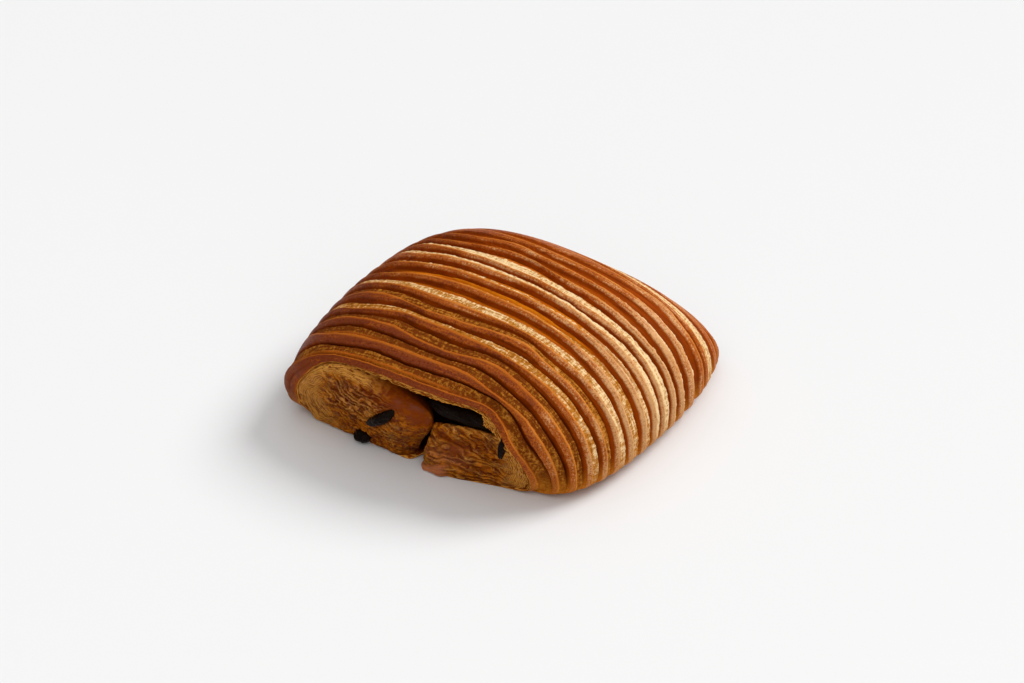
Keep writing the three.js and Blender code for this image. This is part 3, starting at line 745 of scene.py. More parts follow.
def block_outline():
    """The right lump: up its left side, along its top, down under the arch and along the ground."""
    z = np.linspace(0.5, BLOCK_TOP["z"] - 0.5, 40)
    side = np.stack([block_side(z), z], -1)
    x = np.linspace(BLOCK_TOP["x"] + 0.5, BLOCK_TOP["to"], 40)
    top = np.stack([x, block_top(x)], -1)
    arch = under_arch(*UNDER_LIP["block"])
    foot = ground(arch[-1, 0] - 1.5, side[0, 0] + 1)
    return even_outline([side, top, arch, foot], CORNER["block"])


def ledge(t):
    """A saw tooth that rises slowly over each whole step and drops back at its end."""
    t = t - np.floor(t)
    return t * smooth(1.0, 0.86, t)


def spots(x, z, places):
    """The sum of soft oval spots, each with its centre, half sizes and strength."""
    total = 0 * x
    for cx, cz, rx, rz, strength in places:
        total = total + strength * gauss((x - cx) / rx) * gauss((z - cz) / rz)
    return total


def roll_relief(x, z, near):
    """Depth behind the end plane and masks of the left lump, near its edge by that distance. It
    bulges, turns away at its right, is wound of fine leaves at the left and under its rind, breaks
    up into flakes in the middle and is smooth where it is glossy."""
    across, up = x - ROLL_FACE["x"], z - ROLL_FACE["z"]
    bulge = ROLL_FACE["bulge"] * gauss(across / ROLL_FACE["wide"]) * gauss(up / ROLL_FACE["high"])
    turn = ROLL_TURN["round"] * smooth(-ROLL_TURN["run"], 0, x - roll_side(z)) ** 2
    left = 1 - smooth(*WOUND["left"], x + 2 * ragged(x / 4, z / 4, 50))
    rind = 1 - smooth(*RIND["near"], near + 0.5 * ragged(x / 3, z / 3, 49))
    rind = rind * (1 - smooth(*RIND["x"], x)) * smooth(*RIND["z"], z)
    gloss = np.clip(spots(x, z, ROLL_GLOSS), 0, 1)
    flaky = np.clip(spots(x, z, ROLL_FLAKES), 0, 1)
    wound = near + 0.45 * ragged(x / 6, z / 6, 51)
    leaves = LEAVES["high"] * ledge(wound / LEAVES["run"])
    slant = (0.5 * x + z) / ROLL_TORN["slant"] + 1.2 * ragged(x / 5.0, z / 3.4, 54, 4)
    flakes = ledge(slant)
    torn = ragged(x / 2.6, z / 1.7, 52, 4)
    left = np.maximum(left, rind)
    fine = leaves * lerp(0.45, 1.0, left) + ROLL_TORN["rough"] * torn * (1 - 0.7 * left)
    high = ROLL_TORN["plain"] + ROLL_TORN["broken"] * flaky
    relief = (fine + high * flakes * (1 - 0.8 * left)) * (1 - 0.92 * gloss)
    # The flakes' raised tips are painted lighter as painted highlight, and the pits between them darker as
    # painted shade; otherwise cream is pale dough and brown is browned dough and glaze.
    tip = smooth(0.45, 0.85, flakes) * (0.25 + 0.75 * flaky)
    pit = 1 - smooth(0.1, 0.5, flakes)
    cream = tip * (1 - left) + 0.4 * left + 0.3 * rind + 0.3 * torn
    brown = (0.4 * pit + 0.75 * flaky) * (1 - left) * (1 - 0.9 * tip) + 0.3 * gloss - 0.2 * torn
    masks = {
        "leaf": wound,
        "left": left,
        "gloss": gloss * (1 - rind),
        "cream": np.clip(cream, 0, 1) * (1 - gloss * (1 - rind)),
        "char": np.clip(spots(x, z, ROLL_DARK_SPOTS) + 0.15 * torn, 0, 1),
        "brown": np.clip(brown, 0, 1),
        "rose": 0.5 * tip * flaky,
    }
    return ROLL_FACE["inset"] - bulge + turn - relief, masks


def block_relief(x, z, near):
    """The same for the right lump: a leaning face whose torn leaves slant down to the right, with
    two glossy pits, and a slab that stands out along its foot."""
    edge = BLOCK_FACE["round"] * smooth(-BLOCK_FACE["edge"], 0, block_side(z) - x)
    face = BLOCK_FACE["low"] + BLOCK_FACE["lean"] * smooth(0, BLOCK_FACE["high"], z)
    right = smooth(*WOUND["right"], x)
    torn = ragged(x / 3.0, z / 1.7, 61, 4)
    level = (z + 0.12 * x) / BLOCK_TORN["level"]
    slant = (0.75 * x + z) / BLOCK_TORN["slant"]
    field = lerp(level, slant, smooth(7, 11, z)) + 0.9 * ragged(x / 6, z / 3.6, 62, 4)
    flakes = ledge(field)
    wound = near + 0.4 * ragged(x / 6, z / 6, 64)
    leaves = LEAVES["high"] * ledge(wound / LEAVES["run"])
    pit = np.clip(spots(x, z, BLOCK_PIT), 0, 1)
    top = SLAB["low"] + SLAB["rise"] * (x - SLAB["from"]) + 0.25 * ragged(x / 3, 0 * x, 63)
    slab = (1 - smooth(SLAB["to"] - 2, SLAB["to"] + 1, x)) * (1 - smooth(top - 0.2, top + 0.3, z))
    relief = BLOCK_TORN["plain"] * flakes * (1 - right) + leaves * right + BLOCK_TORN["rough"] * torn
    relief = relief * (1 - 0.6 * slab)
    # The flakes' raised tips are painted lighter as painted highlight, and the low parts between them
    # darker as painted shade.
    tip = smooth(0.45, 0.85, flakes) * (1 - right)
    low = 1 - smooth(0.1, 0.5, flakes)
    cream = 0.5 * tip + 0.5 * right + 0.3 * torn + 0.5 * smooth(17, 20, z)
    masks = {
        "leaf": wound,
        "left": right,
        "gloss": 0.8 * pit * (1 - slab),
        "cream": np.clip(cream, 0, 1) * (1 - slab) * (1 - 0.6 * pit),
        "char": np.clip(spots(x, z, BLOCK_DARK_SPOTS) + 0.15 * torn, 0, 1),
        "brown": np.clip(0.75 * low * (1 - right) + 0.7 * pit - 0.2 * torn, 0, 1),
        "rose": np.clip(slab + spots(x, z, BLOCK_ROSE) * (0.4 + 0.6 * tip), 0, 1),
    }
    return face + edge + BLOCK_TORN["pit"] * pit - relief - SLAB["out"] * slab, masks


def draw_left(points, back):
    """Moves the sides of the left lump to the left behind its face."""
    pull = ROLL_PULL["rate"] * back
    points[..., 0] -= pull * smooth(ROLL_PULL["from"], ROLL_PULL["to"], points[..., 0])
    return points


def sink(points, back):
    """Lowers the top of the right lump behind its face."""
    fall = BLOCK_SINK["rate"] * np.minimum(back, BLOCK_SINK["most"])
    points[..., 2] -= fall * smooth(BLOCK_SINK["from"], BLOCK_SINK["to"], points[..., 2])
    return points


def held_inside(x, z, end):
    """Points of the lumps' faces at the far end: stretched across, and those near the sheet's lip
    pressed together softly so that they stay inside it."""
    x = x * np.where(x > 0, BACK_STRETCH["right"], BACK_STRETCH["left"])
    z = z * end["high"]
    around = np.linspace(-90, 270, 721)
    rim = envelope(2 * end["plane"] / BODY_LENGTH + 0 * around, around)
    cx, cz = END_CENTRE[0] * end["wide"], END_CENTRE[1] * end["high"]
    rim_far = np.hypot(rim[:, 0] - cx, rim[:, 2] - cz)
    inset = end["high"] * (LIP_UNDER + (LIP - LIP_UNDER) * over_ground(rim, end))
    rim_angle = np.arctan2(rim[:, 2] - cz, rim[:, 0] - cx)
    order = np.argsort(rim_angle)
    angle = np.arctan2(z - cz, x - cx)
    limit = np.interp(angle, rim_angle[order], (rim_far - inset)[order], period=2 * np.pi)
    share = np.hypot(x - cx, z - cz) / limit
    free = BACK_STRETCH["from"]
    pressed = free + (1 - free) * np.tanh(np.maximum(share - free, 0) / (1 - free))
    share = np.where(share > free, pressed, share)
    return cx + share * limit * np.cos(angle), cz + share * limit * np.sin(angle)


# For each lump its outline, its relief, how its sides run back, and its rounding against the
# left one's.
LUMPS = {
    "left": (roll_outline, roll_relief, draw_left, 1.0),
    "right": (block_outline, block_relief, sink, 0.7),
}


def lump(name, form, end, count, rounding, material):
    """A lump of rolled dough: its face is rings from a middle point out to the outline, rounded
    over at the edge, and its sides run back into the pocket."""
    make_outline, relief, follow, tighter = form
    outline = make_outline()
    rounding = rounding * tighter
    middle = outline.mean(axis=0)
    spoke = outline - middle
    far = np.linalg.norm(spoke, axis=1)
    rounded = 1 - 0.18 * np.linspace(0.95, 0, count // 3) ** 1.5
    shares = np.concatenate([np.linspace(0.02, 0.82, count), rounded])
    x, z = np.moveaxis(middle + shares[:, None, None] * spoke, -1, 0)
    near = (1 - shares[:, None]) * far
    depth, masks = relief(x, z, near)
    round_share = np.clip(1 - near / rounding, 0, 1)
    depth = depth + rounding * (1 - np.sqrt(1 - 0.98 * round_share**2))
    plane = end["plane"] + end["lean"] * overhang(x, z)
    if end["facing"] > 0:
        x, z = held_inside(x, z, end)
    face = np.stack([x, plane - end["facing"] * depth, z], -1)
    backs = np.array(LUMP_BACKS)
    side = face[-1] * np.ones((len(backs), 1, 1))
    side = follow(side, backs[:, None])
    side[..., 1] -= end["facing"] * backs[:, None]
    if end["facing"] < 0:
        side[..., 1] = np.minimum(side[..., 1], end["plane"] + POCKET)
    side_masks = {key: np.repeat(value[-1:], len(backs), axis=0) for key, value in masks.items()}
    # Painted shade: the sides darken as they run back into the pocket.
    side_masks["deep"] = np.repeat(smooth(0.3, 4.5, backs)[:, None], len(far), axis=1)
    rows = np.concatenate([face, side])
    joined = join_masks([(masks, face.shape[:2]), (side_masks, side.shape[:2])])
    first = face[0].mean(axis=0)
    last = side[-1].mean(axis=0)
    if end["facing"] > 0:
        rows = rows[:, ::-1]
        joined = {key: value[:, ::-1] for key, value in joined.items()}
    return closed_surface(name, rows, first, last, joined, material, "crust", ["dough"])


def baton(name, sizes, material, node):
    """A baton of chocolate through the roll: a flattened oval carried along Y that shrinks to the
    back, with domed ends, the front one wrinkled."""
    quarter = np.linspace(0.06, 0.5, BATON_GRID["dome"]) * np.pi
    dome = np.sin(quarter)
    near = BATON_DOME * (1 - np.cos(quarter))
    length = BATON_BACK["end"] - sizes["end"]
    middle = np.linspace(4, length - 4, BATON_GRID["middle"])
    run = np.concatenate([near, middle, length - near[::-1]])
    size = np.concatenate([dome, np.ones(BATON_GRID["middle"]), dome[::-1]])
    t = (run / length)[:, None]
    size = size[:, None] * lerp(1, BATON_BACK["size"], t)
    angle = np.linspace(0, 2 * np.pi, BATON_GRID["round"], endpoint=False)[None]
    lumps = 1 + 0.07 * np.sin(3 * angle + 9 * t) + 0.05 * noise(angle * 2.2, run[:, None] / 2, 71)
    across = sizes["half"] * size * lumps * power(np.cos(angle), 2 / sizes["blunt"])
    over = sizes["thick"] * size * lumps * power(np.sin(angle), 2 / BATON_EDGE)
    tilt = math.radians(sizes["tilt"])
    x = sizes["x"] * lerp(1, BATON_BACK["x"], t) + across * math.cos(tilt) - over * math.sin(tilt)
    z = sizes["z"] * lerp(1, BATON_BACK["z"], t) + across * math.sin(tilt) + over * math.cos(tilt)
    wrinkle = 0.35 * ragged(across / 3, over / 1.4, 72) * np.exp(-run[:, None] / 3)
    y = sizes["end"] + run[:, None] + wrinkle + 0 * x
    rows = np.stack([x, y, z], -1)
    first = rows[0].mean(axis=0) - [0, 0.05, 0]
    last = rows[-1].mean(axis=0) + [0, 0.05, 0]
    return closed_surface(name, rows, first, last, {}, material, "chocolate", [node])


def chocolate_lump(name, sizes, seed, material, node):
    """A small set run of chocolate: an ellipsoid with a ragged surface, its rows along Y."""
    angle = np.linspace(0, 2 * np.pi, DRIP_GRID["round"], endpoint=False)[None]
    turn = np.linspace(0.04, 0.96, DRIP_GRID["along"])[:, None] * np.pi
    bumps = ragged(np.cos(angle) * 1.6 * np.sin(turn) + 3, np.sin(angle) * 1.6 + turn, seed)
    bumps = 1 + 0.12 * bumps
    hx, hy, hz = sizes["half"]
    z = np.maximum(sizes["at"][2] + hz * bumps * np.sin(turn) * np.sin(angle), GROUND)
    lean = sizes["lean"] * (z - sizes["at"][2])
    x = sizes["at"][0] + hx * bumps * np.sin(turn) * np.cos(angle) + lean
    y = sizes["at"][1] - hy * bumps * np.cos(turn)
    rows = np.stack([x, y, z], -1)
    first, last = rows[0].mean(axis=0), rows[-1].mean(axis=0)
    return closed_surface(name, rows, first, last, {}, material, "chocolate", [node])


class Graph:
    """A material's node tree, with short ways to add the nodes that the finishes use."""

    def __init__(self, name):
        self.material = bpy.data.materials.new(name)
        self.material.use_nodes = True
        self.tree = self.material.node_tree
        self.shader = self.tree.nodes["Principled BSDF"]
        self.place = self.tree.nodes.new("ShaderNodeTexCoord").outputs["Object"]

    def put(self, value, socket):
        """Links a socket or sets a plain value."""
        if isinstance(value, bpy.types.NodeSocket):
            self.tree.links.new(value, socket)
        elif isinstance(value, (tuple, list)) or hasattr(value, "r"):
            socket.default_value = (*value[:3], 1.0)
        else:
            socket.default_value = value

    def mask(self, name):
        """One of the mesh's own attributes."""
        node = self.tree.nodes.new("ShaderNodeAttribute")
        node.attribute_name = name
        return node.outputs["Fac"]

    def noise(self, scale, detail=4.0, roughness=0.6, stretch=(1, 1, 1)):
        """Noise on Object coordinates, its scale in repeats a metre."""
        mapping = self.tree.nodes.new("ShaderNodeMapping")
        self.put(self.place, mapping.inputs["Vector"])
        mapping.inputs["Scale"].default_value = stretch
        node = self.tree.nodes.new("ShaderNodeTexNoise")
        self.put(mapping.outputs["Vector"], node.inputs["Vector"])
        node.inputs["Scale"].default_value = scale
        node.inputs["Detail"].default_value = detail
        node.inputs["Roughness"].default_value = roughness
        return node.outputs["Fac"]

    def math(self, operation, a, b=0.0, clamp=False):
        """One step of arithmetic."""
        node = self.tree.nodes.new("ShaderNodeMath")
        node.operation = operation
        node.use_clamp = clamp
        self.put(a, node.inputs[0])
        self.put(b, node.inputs[1])
        return node.outputs["Value"]

    def times(self, a, b):
        """One value times another."""
        return self.math("MULTIPLY", a, b)

    def plus(self, a, b, clamp=False):
        """The sum of two values, kept from 0 to 1 if it is clamped."""
        return self.math("ADD", a, b, clamp)

    def span(self, value, low, high, bottom=0.0, top=1.0):
        """Maps low to high smoothly onto bottom to top."""
        node = self.tree.nodes.new("ShaderNodeMapRange")
        node.interpolation_type = "SMOOTHSTEP"
        self.put(value, node.inputs["Value"])
        limits = {"From Min": low, "From Max": high, "To Min": bottom, "To Max": top}
        for socket, number in limits.items():
            node.inputs[socket].default_value = number
        return node.outputs["Result"]

    def sway(self, value, size):
        """Noise as a sway by up to a size to either side of 0."""
        return self.span(value, 0.3, 0.7, -size, size)

    def mix(self, factor, a, b):
        """Blends two colours."""
        node = self.tree.nodes.new("ShaderNodeMix")
        node.data_type = "RGBA"
        self.put(factor, node.inputs[0])
        self.put(a, node.inputs[6])
        self.put(b, node.inputs[7])
        return node.outputs[2]

    def ramp(self, factor, low, middle, high):
        """Blends three colours, the middle one at a factor of a half."""
        lower = self.mix(self.span(factor, 0.0, 0.5), low, middle)
        return self.mix(self.span(factor, 0.5, 1.0), lower, high)

    def bump(self, height, distance, strength=1.0, under=None):
        """Bump of that height in metres, on top of another bump."""
        node = self.tree.nodes.new("ShaderNodeBump")
        node.inputs["Distance"].default_value = distance
        self.put(strength, node.inputs["Strength"])
        self.put(height, node.inputs["Height"])
        if under is not None:
            self.put(under, node.inputs["Normal"])
        return node.outputs["Normal"]

    def finish(self, colour, roughness, normal, coat, coat_roughness, shine=0.5):
        """Wires the shader. Coat is a number or a mask, its roughness and the shine are numbers."""
        self.put(colour, self.shader.inputs["Base Color"])
        self.put(roughness, self.shader.inputs["Roughness"])
        self.put(normal, self.shader.inputs["Normal"])
        self.put(coat, self.shader.inputs["Coat Weight"])
        self.shader.inputs["Coat Roughness"].default_value = coat_roughness
        self.shader.inputs["Specular IOR Level"].default_value = shine
        return self.material


def skin_material(colours):
    """Baked skin: walls from orange to dark brown or amber, grooves darkened by painted shade, glazed
    bands from tan to red brown with bright edges, torn strips from brown to cream, and the cut
    leaves of the lip, all mottled by noise, with painted shade deep in the open ends."""
    g = Graph("baked_skin")
    bake = g.mask("bake")
    fine = g.noise(3400, 4, 0.7, (1, 0.35, 1))
    grain = g.noise(1900, 5, 0.74, (1, 0.5, 1))
    lines = g.noise(1500, 3, 0.6, (0.07, 1, 0.07))
    spot = g.noise(1700, 4, 0.65)
    blotch = g.noise(130, 4, 0.6)
    uneven = g.plus(bake, g.sway(blotch, 0.1), clamp=True)
    streaked = g.plus(uneven, g.sway(lines, 0.17))
    speckled = g.plus(streaked, g.sway(grain, 0.26), clamp=True)
    band = g.ramp(speckled, colours.band_light, colours.band_mid, colours.band_dark)
    pores = g.times(g.span(spot, 0.53, 0.62), g.span(uneven, 0.1, 0.8, 0.35, 0.8))
    band = g.mix(pores, band, colours.pores)
    dark = g.plus(streaked, g.sway(lines, 0.3), clamp=True)
    wall = g.mix(dark, colours.wall_light, colours.wall_dark)
    glow = g.times(g.mask("amber"), g.span(lines, 0.3, 0.7, 0.1, 1.0))
    wall = g.mix(g.times(glow, g.span(blotch, 0.3, 0.7, 0.6, 1.0)), wall, colours.amber)
    # Painted shade: the groove mask darkens walls towards the groove colour.
    wall = g.mix(g.mask("groove"), wall, colours.groove)
    flecks = g.span(g.noise(1100, 7, 0.78, (1, 0.4, 1)), 0.34, 0.70, -0.34, 0.34)
    pale = g.math("SUBTRACT", g.mask("pale"), g.times(uneven, 0.22))
    pale = g.plus(pale, g.sway(lines, 0.22))
    pale = g.plus(pale, flecks, clamp=True)
    strip = g.ramp(pale, colours.strip_brown, colours.strip_gold, colours.strip_cream)
    foot = g.mix(g.span(grain, 0.3, 0.7), colours.foot_brown, colours.foot_gold)
    colour = g.mix(g.mask("strip"), wall, strip)
    colour = g.mix(g.mask("band"), colour, band)
    edge = g.ramp(g.plus(uneven, 0.15), colours.edge_pale, colours.edge, colours.edge_dark)
    bright = g.times(g.mask("edge"), g.span(grain, 0.25, 0.6, 0.35, 0.95))
    colour = g.mix(bright, colour, edge)
    low = g.times(g.mask("foot"), g.span(g.mask("band"), 0.2, 1.0, 0.95, 0.45))
    colour = g.mix(low, colour, foot)
    leaf = g.plus(g.mask("leaf"), g.span(g.noise(260, 3, 0.5), 0.2, 0.8, -0.35, 0.35))
    leaves = g.span(g.math("SINE", g.times(leaf, 12.5)), -0.6, 0.9)
    cut = g.mix(leaves, colours.cut_brown, colours.cut_light)
    colour = g.mix(g.mask("cut"), colour, cut)
    # Painted shade deep in the hollow behind the lip.
    colour = g.mix(g.times(g.mask("deep"), 0.96), colour, colours.inside)
    rough = g.math("SUBTRACT", 0.5, g.times(g.mask("band"), 0.12))
    rough = g.plus(rough, g.span(fine, 0.3, 0.7, -0.08, 0.14))
    rough = g.plus(rough, g.times(g.mask("strip"), 0.15))
    torn = g.plus(g.times(g.mask("strip"), 0.7), 0.3)
    normal = g.bump(g.noise(1900, 7, 0.78, (1, 0.3, 1)), 0.0005, torn)
    normal = g.bump(g.times(leaves, g.mask("cut")), 0.00014, 1.0, normal)
    normal = g.bump(lines, 0.00012, 1.0, normal)
    normal = g.bump(grain, 0.00018, 1.0, normal)
    coat = g.times(g.mask("band"), 0.07)
    return g.finish(colour, rough, normal, coat, 0.22, 0.02)


def torn_material(colours):
    """Torn dough of the rolled ends: fine leaves, pale flakes with painted highlight on their tips,
    glossy brown, darker spots, and painted shade in the flakes' pits, beside the gap between the
    lumps and on their sides.
    """
    g = Graph("torn_dough")
    grain = g.noise(620, 7, 0.74, (0.6, 1, 1))
    fine = g.noise(1800, 6, 0.7)
    leaf = g.plus(g.mask("leaf"), g.span(g.noise(240, 4, 0.6), 0.2, 0.8, -0.5, 0.5))
    lines = g.span(g.math("SINE", g.times(leaf, 10.5)), -0.7, 0.9)
    layered = g.mix(lines, colours.cut_brown, colours.cut_light)
    mottle = g.noise(430, 7, 0.76, (0.8, 1, 1))
    flaky = g.mix(g.span(mottle, 0.43, 0.58, 0.05, 1.0), colours.torn_brown, colours.torn_gold)
    colour = g.mix(g.mask("left"), flaky, layered)
    # Browned dough, with painted shade in the flakes' pits; then pale dough, with painted highlight on the
    # flakes' tips.
    colour = g.mix(g.times(g.mask("brown"), 0.9), colour, colours.torn_brown)
    cream = g.times(g.mask("cream"), g.span(grain, 0.42, 0.56, 0.12, 1.0))
    colour = g.mix(cream, colour, colours.cut_light)
    colour = g.mix(g.times(g.mask("rose"), 0.8), colour, colours.rose)
    colour = g.mix(g.times(g.mask("gloss"), 0.9), colour, colours.dome)
    # Darker spots in the groove colour, painted shade beside the gap between the lumps.
    char = g.times(g.mask("char"), g.span(grain, 0.3, 0.6, 0.3, 1.0))
    colour = g.mix(char, colour, colours.groove)
    # Painted shade on the lumps' sides behind their faces.
    colour = g.mix(g.times(g.mask("deep"), 0.9), colour, colours.inside)
    rough = g.math("SUBTRACT", 0.45, g.times(g.mask("gloss"), 0.16))
    rough = g.plus(rough, g.span(fine, 0.3, 0.7, -0.08, 0.1))
    dull = g.math("SUBTRACT", 1.0, g.times(g.mask("gloss"), 0.7))
    normal = g.bump(grain, 0.0011, dull)
    normal = g.bump(fine, 0.0002, dull, normal)
    glazed = g.math("SUBTRACT", 1.0, g.mask("deep"), clamp=True)
    coat = g.times(glazed, g.span(mottle, 0.42, 0.52, 0.2, 0.0))
    return g.finish(colour, rough, normal, coat, 0.16, 0.03)


def chocolate_material(look):
    """Dark chocolate that melted and set: nearly black, glossy, with dull patches and wrinkles."""
    g = Graph("set_chocolate")
    patch = g.noise(380, 4, 0.6)
    colour = g.mix(g.span(patch, 0.45, 0.75), look.dark, look.light)
    rough = g.span(patch, 0.35, 0.75, 0.16, 0.42)
    normal = g.bump(g.noise(420, 4, 0.6, (1, 1, 2.2)), 0.0006, 0.7)
    return g.finish(colour, rough, normal, 0.0, 0.15, 0.035)


def colour_property(name, description, default):
    """A colour that a user can change."""
    return bpy.props.FloatVectorProperty(
        name=name, description=description, default=default, subtype="COLOR", min=0.0, max=1.0, size=3
    )


def size_property(name, description, default):
    """A length that a user can change."""
    return bpy.props.FloatProperty(
        name=name, description=description, default=default, unit="LENGTH", precision=5
    )


def light_property(name, where, default):
    """The strength of a light."""
    return bpy.props.FloatProperty(
        name=name, description=f"Strength of the light {where}", default=default, min=0.0
    )


class SkinSizes(bpy.types.PropertyGroup):
    """Sizes of the skin's relief."""

    depth: size_property("Ridge depth", "From a crest to the bottom of a groove", 0.0028)
    roughness: size_property("Tearing", "Height of the torn strips' relief", 0.00015)
    rounding: size_property("Lump rounding", "Rounding of the lumps' edges", 0.0013)


class CrustColours(bpy.types.PropertyGroup):
    """Colours of the baked dough, as linear red, green and blue."""

    amber: colour_property("Wall, amber", "Smooth walls on the crown", (0.70, 0.20, 0.004))
    wall_light: colour_property("Wall, lighter", "Smooth walls, lightly baked", (0.34, 0.052, 0.0005))
    wall_dark: colour_property("Wall, darker", "Smooth walls, well baked", (0.19, 0.027, 0.0005))
    # Painted shade in grooves, creases, walls' feet, the flank's walls and where skin pieces meet; also
    # the lumps' darker spots, painted shade beside the gap between them.
    groove: colour_property("Groove", "Bottoms of the grooves and charred places", (0.06, 0.006, 0.0005))
    band_light: colour_property("Band, lighter", "Glazed bands at the right and back", (0.64, 0.33, 0.135))
    band_mid: colour_property("Band, middle", "Glazed bands on the crown", (0.40, 0.088, 0.008))
    band_dark: colour_property("Band, darker", "Glazed bands at the front left", (0.20, 0.039, 0.010))
    pores: colour_property("Pores", "Dark specks on the glazed bands", (0.12, 0.014, 0.002))
    strip_brown: colour_property("Strip, browned", "Torn strips where browned", (0.17, 0.036, 0.003))
    strip_gold: colour_property("Strip, gold", "Torn strips, in between", (0.50, 0.18, 0.018))
    strip_cream: colour_property("Strip, pale", "Torn strips where they are pale", (0.94, 0.67, 0.35))
    edge: colour_property("Edge", "Bright lines along the dark bands", (0.68, 0.23, 0.03))
    edge_dark: colour_property("Edge, dark", "Lines along the darkest bands", (0.50, 0.13, 0.010))
    edge_pale: colour_property("Edge, pale", "Bright lines along the light bands", (0.86, 0.55, 0.26))
    # Also the painted highlight on the tips of flakes at the ends.
    cut_light: colour_property("Leaves, pale", "Cut leaves of dough", (0.82, 0.36, 0.06))
    cut_brown: colour_property("Leaves, browned", "Between the cut leaves", (0.22, 0.044, 0.002))
    torn_gold: colour_property("Torn, gold", "Torn dough at the ends", (0.68, 0.20, 0.008))
    # Also the painted shade in the pits between flakes at the ends.
    torn_brown: colour_property("Torn, brown", "Browned torn dough at the ends", (0.15, 0.020, 0.0005))
    dome: colour_property("Glazed dome", "Smooth glossy dough at the ends", (0.19, 0.030, 0.0))
    rose: colour_property("Torn edges", "Thick flakes at the ends", (0.60, 0.20, 0.08))
    foot_gold: colour_property("Foot, gold", "Low on the sides", (0.66, 0.25, 0.022))
    foot_brown: colour_property("Foot, browned", "Browned places low on the sides", (0.36, 0.085, 0.004))
    # Painted shade deep in the hollows behind the lip and on the lumps' sides.
    inside: colour_property("Inside", "Deep in the open ends", (0.012, 0.004, 0.001))


class ChocolateLook(bpy.types.PropertyGroup):
    """Colours of the chocolate."""

    dark: colour_property("Chocolate", "Glossy chocolate", (0.006, 0.0028, 0.0016))
    light: colour_property("Chocolate, dull", "Dull patches", (0.010, 0.005, 0.003))


class StageLook(bpy.types.PropertyGroup):
    """Floor and light."""

    floor: colour_property("Floor", "Colour of the plain floor", (0.76, 0.76, 0.76))
    key: light_property("Key light", "from the right", 2.45)
    fill: light_property("Fill light", "from the front", 0.9)
    sky: light_property("Sky", "from above", 0.85)
    horizon: light_property("Horizon", "from around", 0.12)


class PASTRY_OT_skin(bpy.types.Operator):
    """Builds the ridged outer sheet in five pieces that meet in grooves"""

    bl_idname = "pastry.skin"
    bl_label = "Outer sheet"

    def execute(self, context):
        sizes = context.scene.pastry_skin
        degrees, arc = section_columns(COLUMNS)
        material = skin_material(context.scene.pastry_crust)
        last = len(RIDGES) - 1
        for number, (start, stop) in enumerate(zip((0, *SPLITS), (*SPLITS, last)), 1):
            rows = SkinRows(degrees, arc, sizes.depth / MM, sizes.roughness / MM)
            if start == 0:
                rows.rim()
            for n in range(start, stop):
                if n > start or start == 0:
                    rows.strip(n)
                rows.groove(n)
                rows.wall(n)
            if stop == last:
                rows.tail()
            else:
                rows.strip(stop)
                rows.groove(stop)
            front_end = FRONT_END if start == 0 else None
            back_end = BACK_END if stop == last else None
            skin_piece(f"sheet_{number}", rows.surface(), material, front_end, back_end)
        return {"FINISHED"}


class PASTRY_OT_lumps(bpy.types.Operator):
    """Builds the rolled lumps that fill the sheet's open ends"""

    bl_idname = "pastry.lumps"
    bl_label = "Rolled ends"

    def execute(self, context):
        rounding = context.scene.pastry_skin.rounding / MM
        material = torn_material(context.scene.pastry_crust)
        for where, end in (("front", FRONT_END), ("back", BACK_END)):
            for side, form in LUMPS.items():
                lump(f"roll_{side}_{where}", form, end, LUMP_ROWS[where], rounding, material)
        return {"FINISHED"}


class PASTRY_OT_chocolate(bpy.types.Operator):
    """Builds the chocolate batons and what ran out of them"""

    bl_idname = "pastry.chocolate"
    bl_label = "Chocolate"

    def execute(self, context):
        material = chocolate_material(context.scene.pastry_chocolate)
        baton("baton_right", BATON_RIGHT, material, "chocolate_right")
        baton("baton_left", BATON_LEFT, material, "chocolate_left")
        chocolate_lump("drip", DRIP, 81, material, "chocolate_drip")
        chocolate_lump("smear", SMEAR, 82, material, "chocolate_smear")
        return {"FINISHED"}


class PASTRY_OT_stage(bpy.types.Operator):
    """Builds the floor, the lights and the camera"""

    bl_idname = "pastry.stage"
    bl_label = "Stage"

    def execute(self, context):
        look = context.scene.pastry_stage
        azimuth = math.radians(VIEW["azimuth"])
        floor_object(look)
        context.scene.camera = photo_camera(azimuth, math.radians(VIEW["elevation"]))
        soft_light("key", KEY_LIGHT, azimuth, look.key)
        soft_light("fill", FILL_LIGHT, azimuth, look.fill)
        context.scene.world = soft_sky(look)
        context.scene.view_settings.view_transform = "Standard"
        return {"FINISHED"}


def photo_camera(azimuth, elevation):
    """The camera, looking at the aim from its distance at these angles round and up."""
    level = math.cos(elevation)
    back = Vector((math.sin(azimuth) * level, -math.cos(azimuth) * level, math.sin(elevation)))
    camera = bpy.data.cameras.new("photo_view")
    camera.lens = VIEW["lens"]
    camera.sensor_width = 36.0
    holder = bpy.data.objects.new("photo_view", camera)
    holder.location = Vector(AIM) * MM + back * VIEW["distance"]
    holder.rotation_euler = back.to_track_quat("Z", "Y").to_euler()
    bpy.context.scene.collection.objects.link(holder)
    return holder


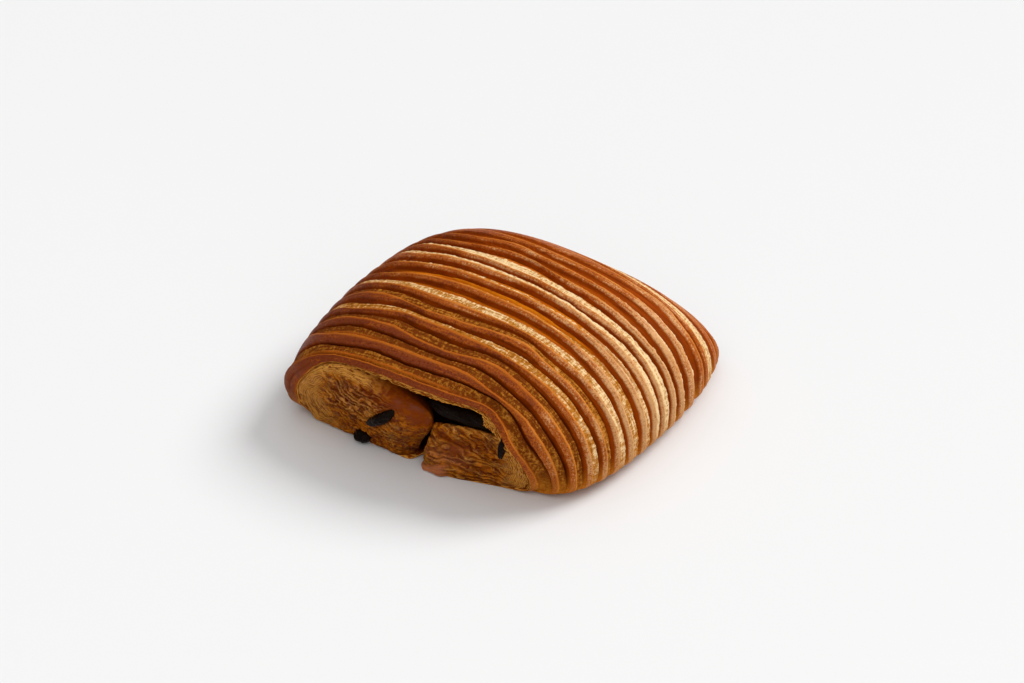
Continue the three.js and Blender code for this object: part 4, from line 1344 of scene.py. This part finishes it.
def soft_sky(look):
    """White light from all around that grows with the height in the sky."""
    world = bpy.data.worlds.new("even_light")
    world.use_nodes = True
    tree = world.node_tree
    background = tree.nodes["Background"]
    background.inputs["Color"].default_value = (1.0, 1.0, 1.0, 1.0)
    direction = tree.nodes.new("ShaderNodeTexCoord")
    height = tree.nodes.new("ShaderNodeSeparateXYZ")
    glow = tree.nodes.new("ShaderNodeMapRange")
    glow.interpolation_type = "SMOOTHSTEP"
    glow.inputs["From Min"].default_value = SKY_RISE[0]
    glow.inputs["From Max"].default_value = SKY_RISE[1]
    glow.inputs["To Min"].default_value = look.horizon
    glow.inputs["To Max"].default_value = look.sky
    tree.links.new(direction.outputs["Generated"], height.inputs["Vector"])
    tree.links.new(height.outputs["Z"], glow.inputs["Value"])
    tree.links.new(glow.outputs["Result"], background.inputs["Strength"])
    return world


def soft_light(name, place, azimuth, strength):
    """A far light from one direction, given against the camera's azimuth."""
    right = Vector((math.cos(azimuth), math.sin(azimuth), 0))
    away = Vector((-math.sin(azimuth), math.cos(azimuth), 0))
    up = Vector((0, 0, 1))
    light = bpy.data.lights.new(name, "SUN")
    light.angle = place["spread"]
    light.energy = strength
    holder = bpy.data.objects.new(name, light)
    towards = right * place["from"][0] + away * place["from"][1] + up * place["from"][2]
    holder.rotation_euler = towards.to_track_quat("Z", "Y").to_euler()
    bpy.context.scene.collection.objects.link(holder)


def floor_object(look):
    """A plain pale floor under the pastry."""
    mesh = bpy.data.meshes.new("floor")
    half = FLOOR_HALF
    corners = [(-half, -half, 0), (half, -half, 0), (half, half, 0), (-half, half, 0)]
    mesh.from_pydata(corners, [], [(0, 1, 2, 3)])
    g = Graph("plain_floor")
    g.put(look.floor, g.shader.inputs["Base Color"])
    g.shader.inputs["Roughness"].default_value = 0.6
    mesh.materials.append(g.material)
    floor = bpy.data.objects.new("floor", mesh)
    bpy.context.scene.collection.objects.link(floor)


class PASTRY_PT_panel(bpy.types.Panel):
    """Lists the pastry's pieces and the stage"""

    bl_idname = "PASTRY_PT_panel"
    bl_label = "Pain au chocolat"
    bl_space_type = "VIEW_3D"
    bl_region_type = "UI"
    bl_category = "Pastry"

    def draw(self, context):
        for operator in OPERATORS:
            self.layout.operator(operator.bl_idname)
        for key in GROUPS:
            group = getattr(context.scene, key)
            for name in group.__annotations__:
                self.layout.prop(group, name)


OPERATORS = (PASTRY_OT_skin, PASTRY_OT_lumps, PASTRY_OT_chocolate, PASTRY_OT_stage)
GROUPS = {
    "pastry_skin": SkinSizes,
    "pastry_crust": CrustColours,
    "pastry_chocolate": ChocolateLook,
    "pastry_stage": StageLook,
}


def register():
    """Adds the groups of settings, the operators and the panel."""
    for group in GROUPS.values():
        bpy.utils.register_class(group)
    for key, group in GROUPS.items():
        setattr(bpy.types.Scene, key, bpy.props.PointerProperty(type=group))
    for operator in OPERATORS:
        bpy.utils.register_class(operator)
    bpy.utils.register_class(PASTRY_PT_panel)


def unregister():
    """Takes them away again, in the opposite order."""
    bpy.utils.unregister_class(PASTRY_PT_panel)
    for operator in reversed(OPERATORS):
        bpy.utils.unregister_class(operator)
    for key in GROUPS:
        delattr(bpy.types.Scene, key)
    for group in reversed(GROUPS.values()):
        bpy.utils.unregister_class(group)


def main():
    """Builds every piece in order."""
    register()
    bpy.ops.pastry.skin()
    bpy.ops.pastry.lumps()
    bpy.ops.pastry.chocolate()
    bpy.ops.pastry.stage()


if __name__ == "__main__":
    main()
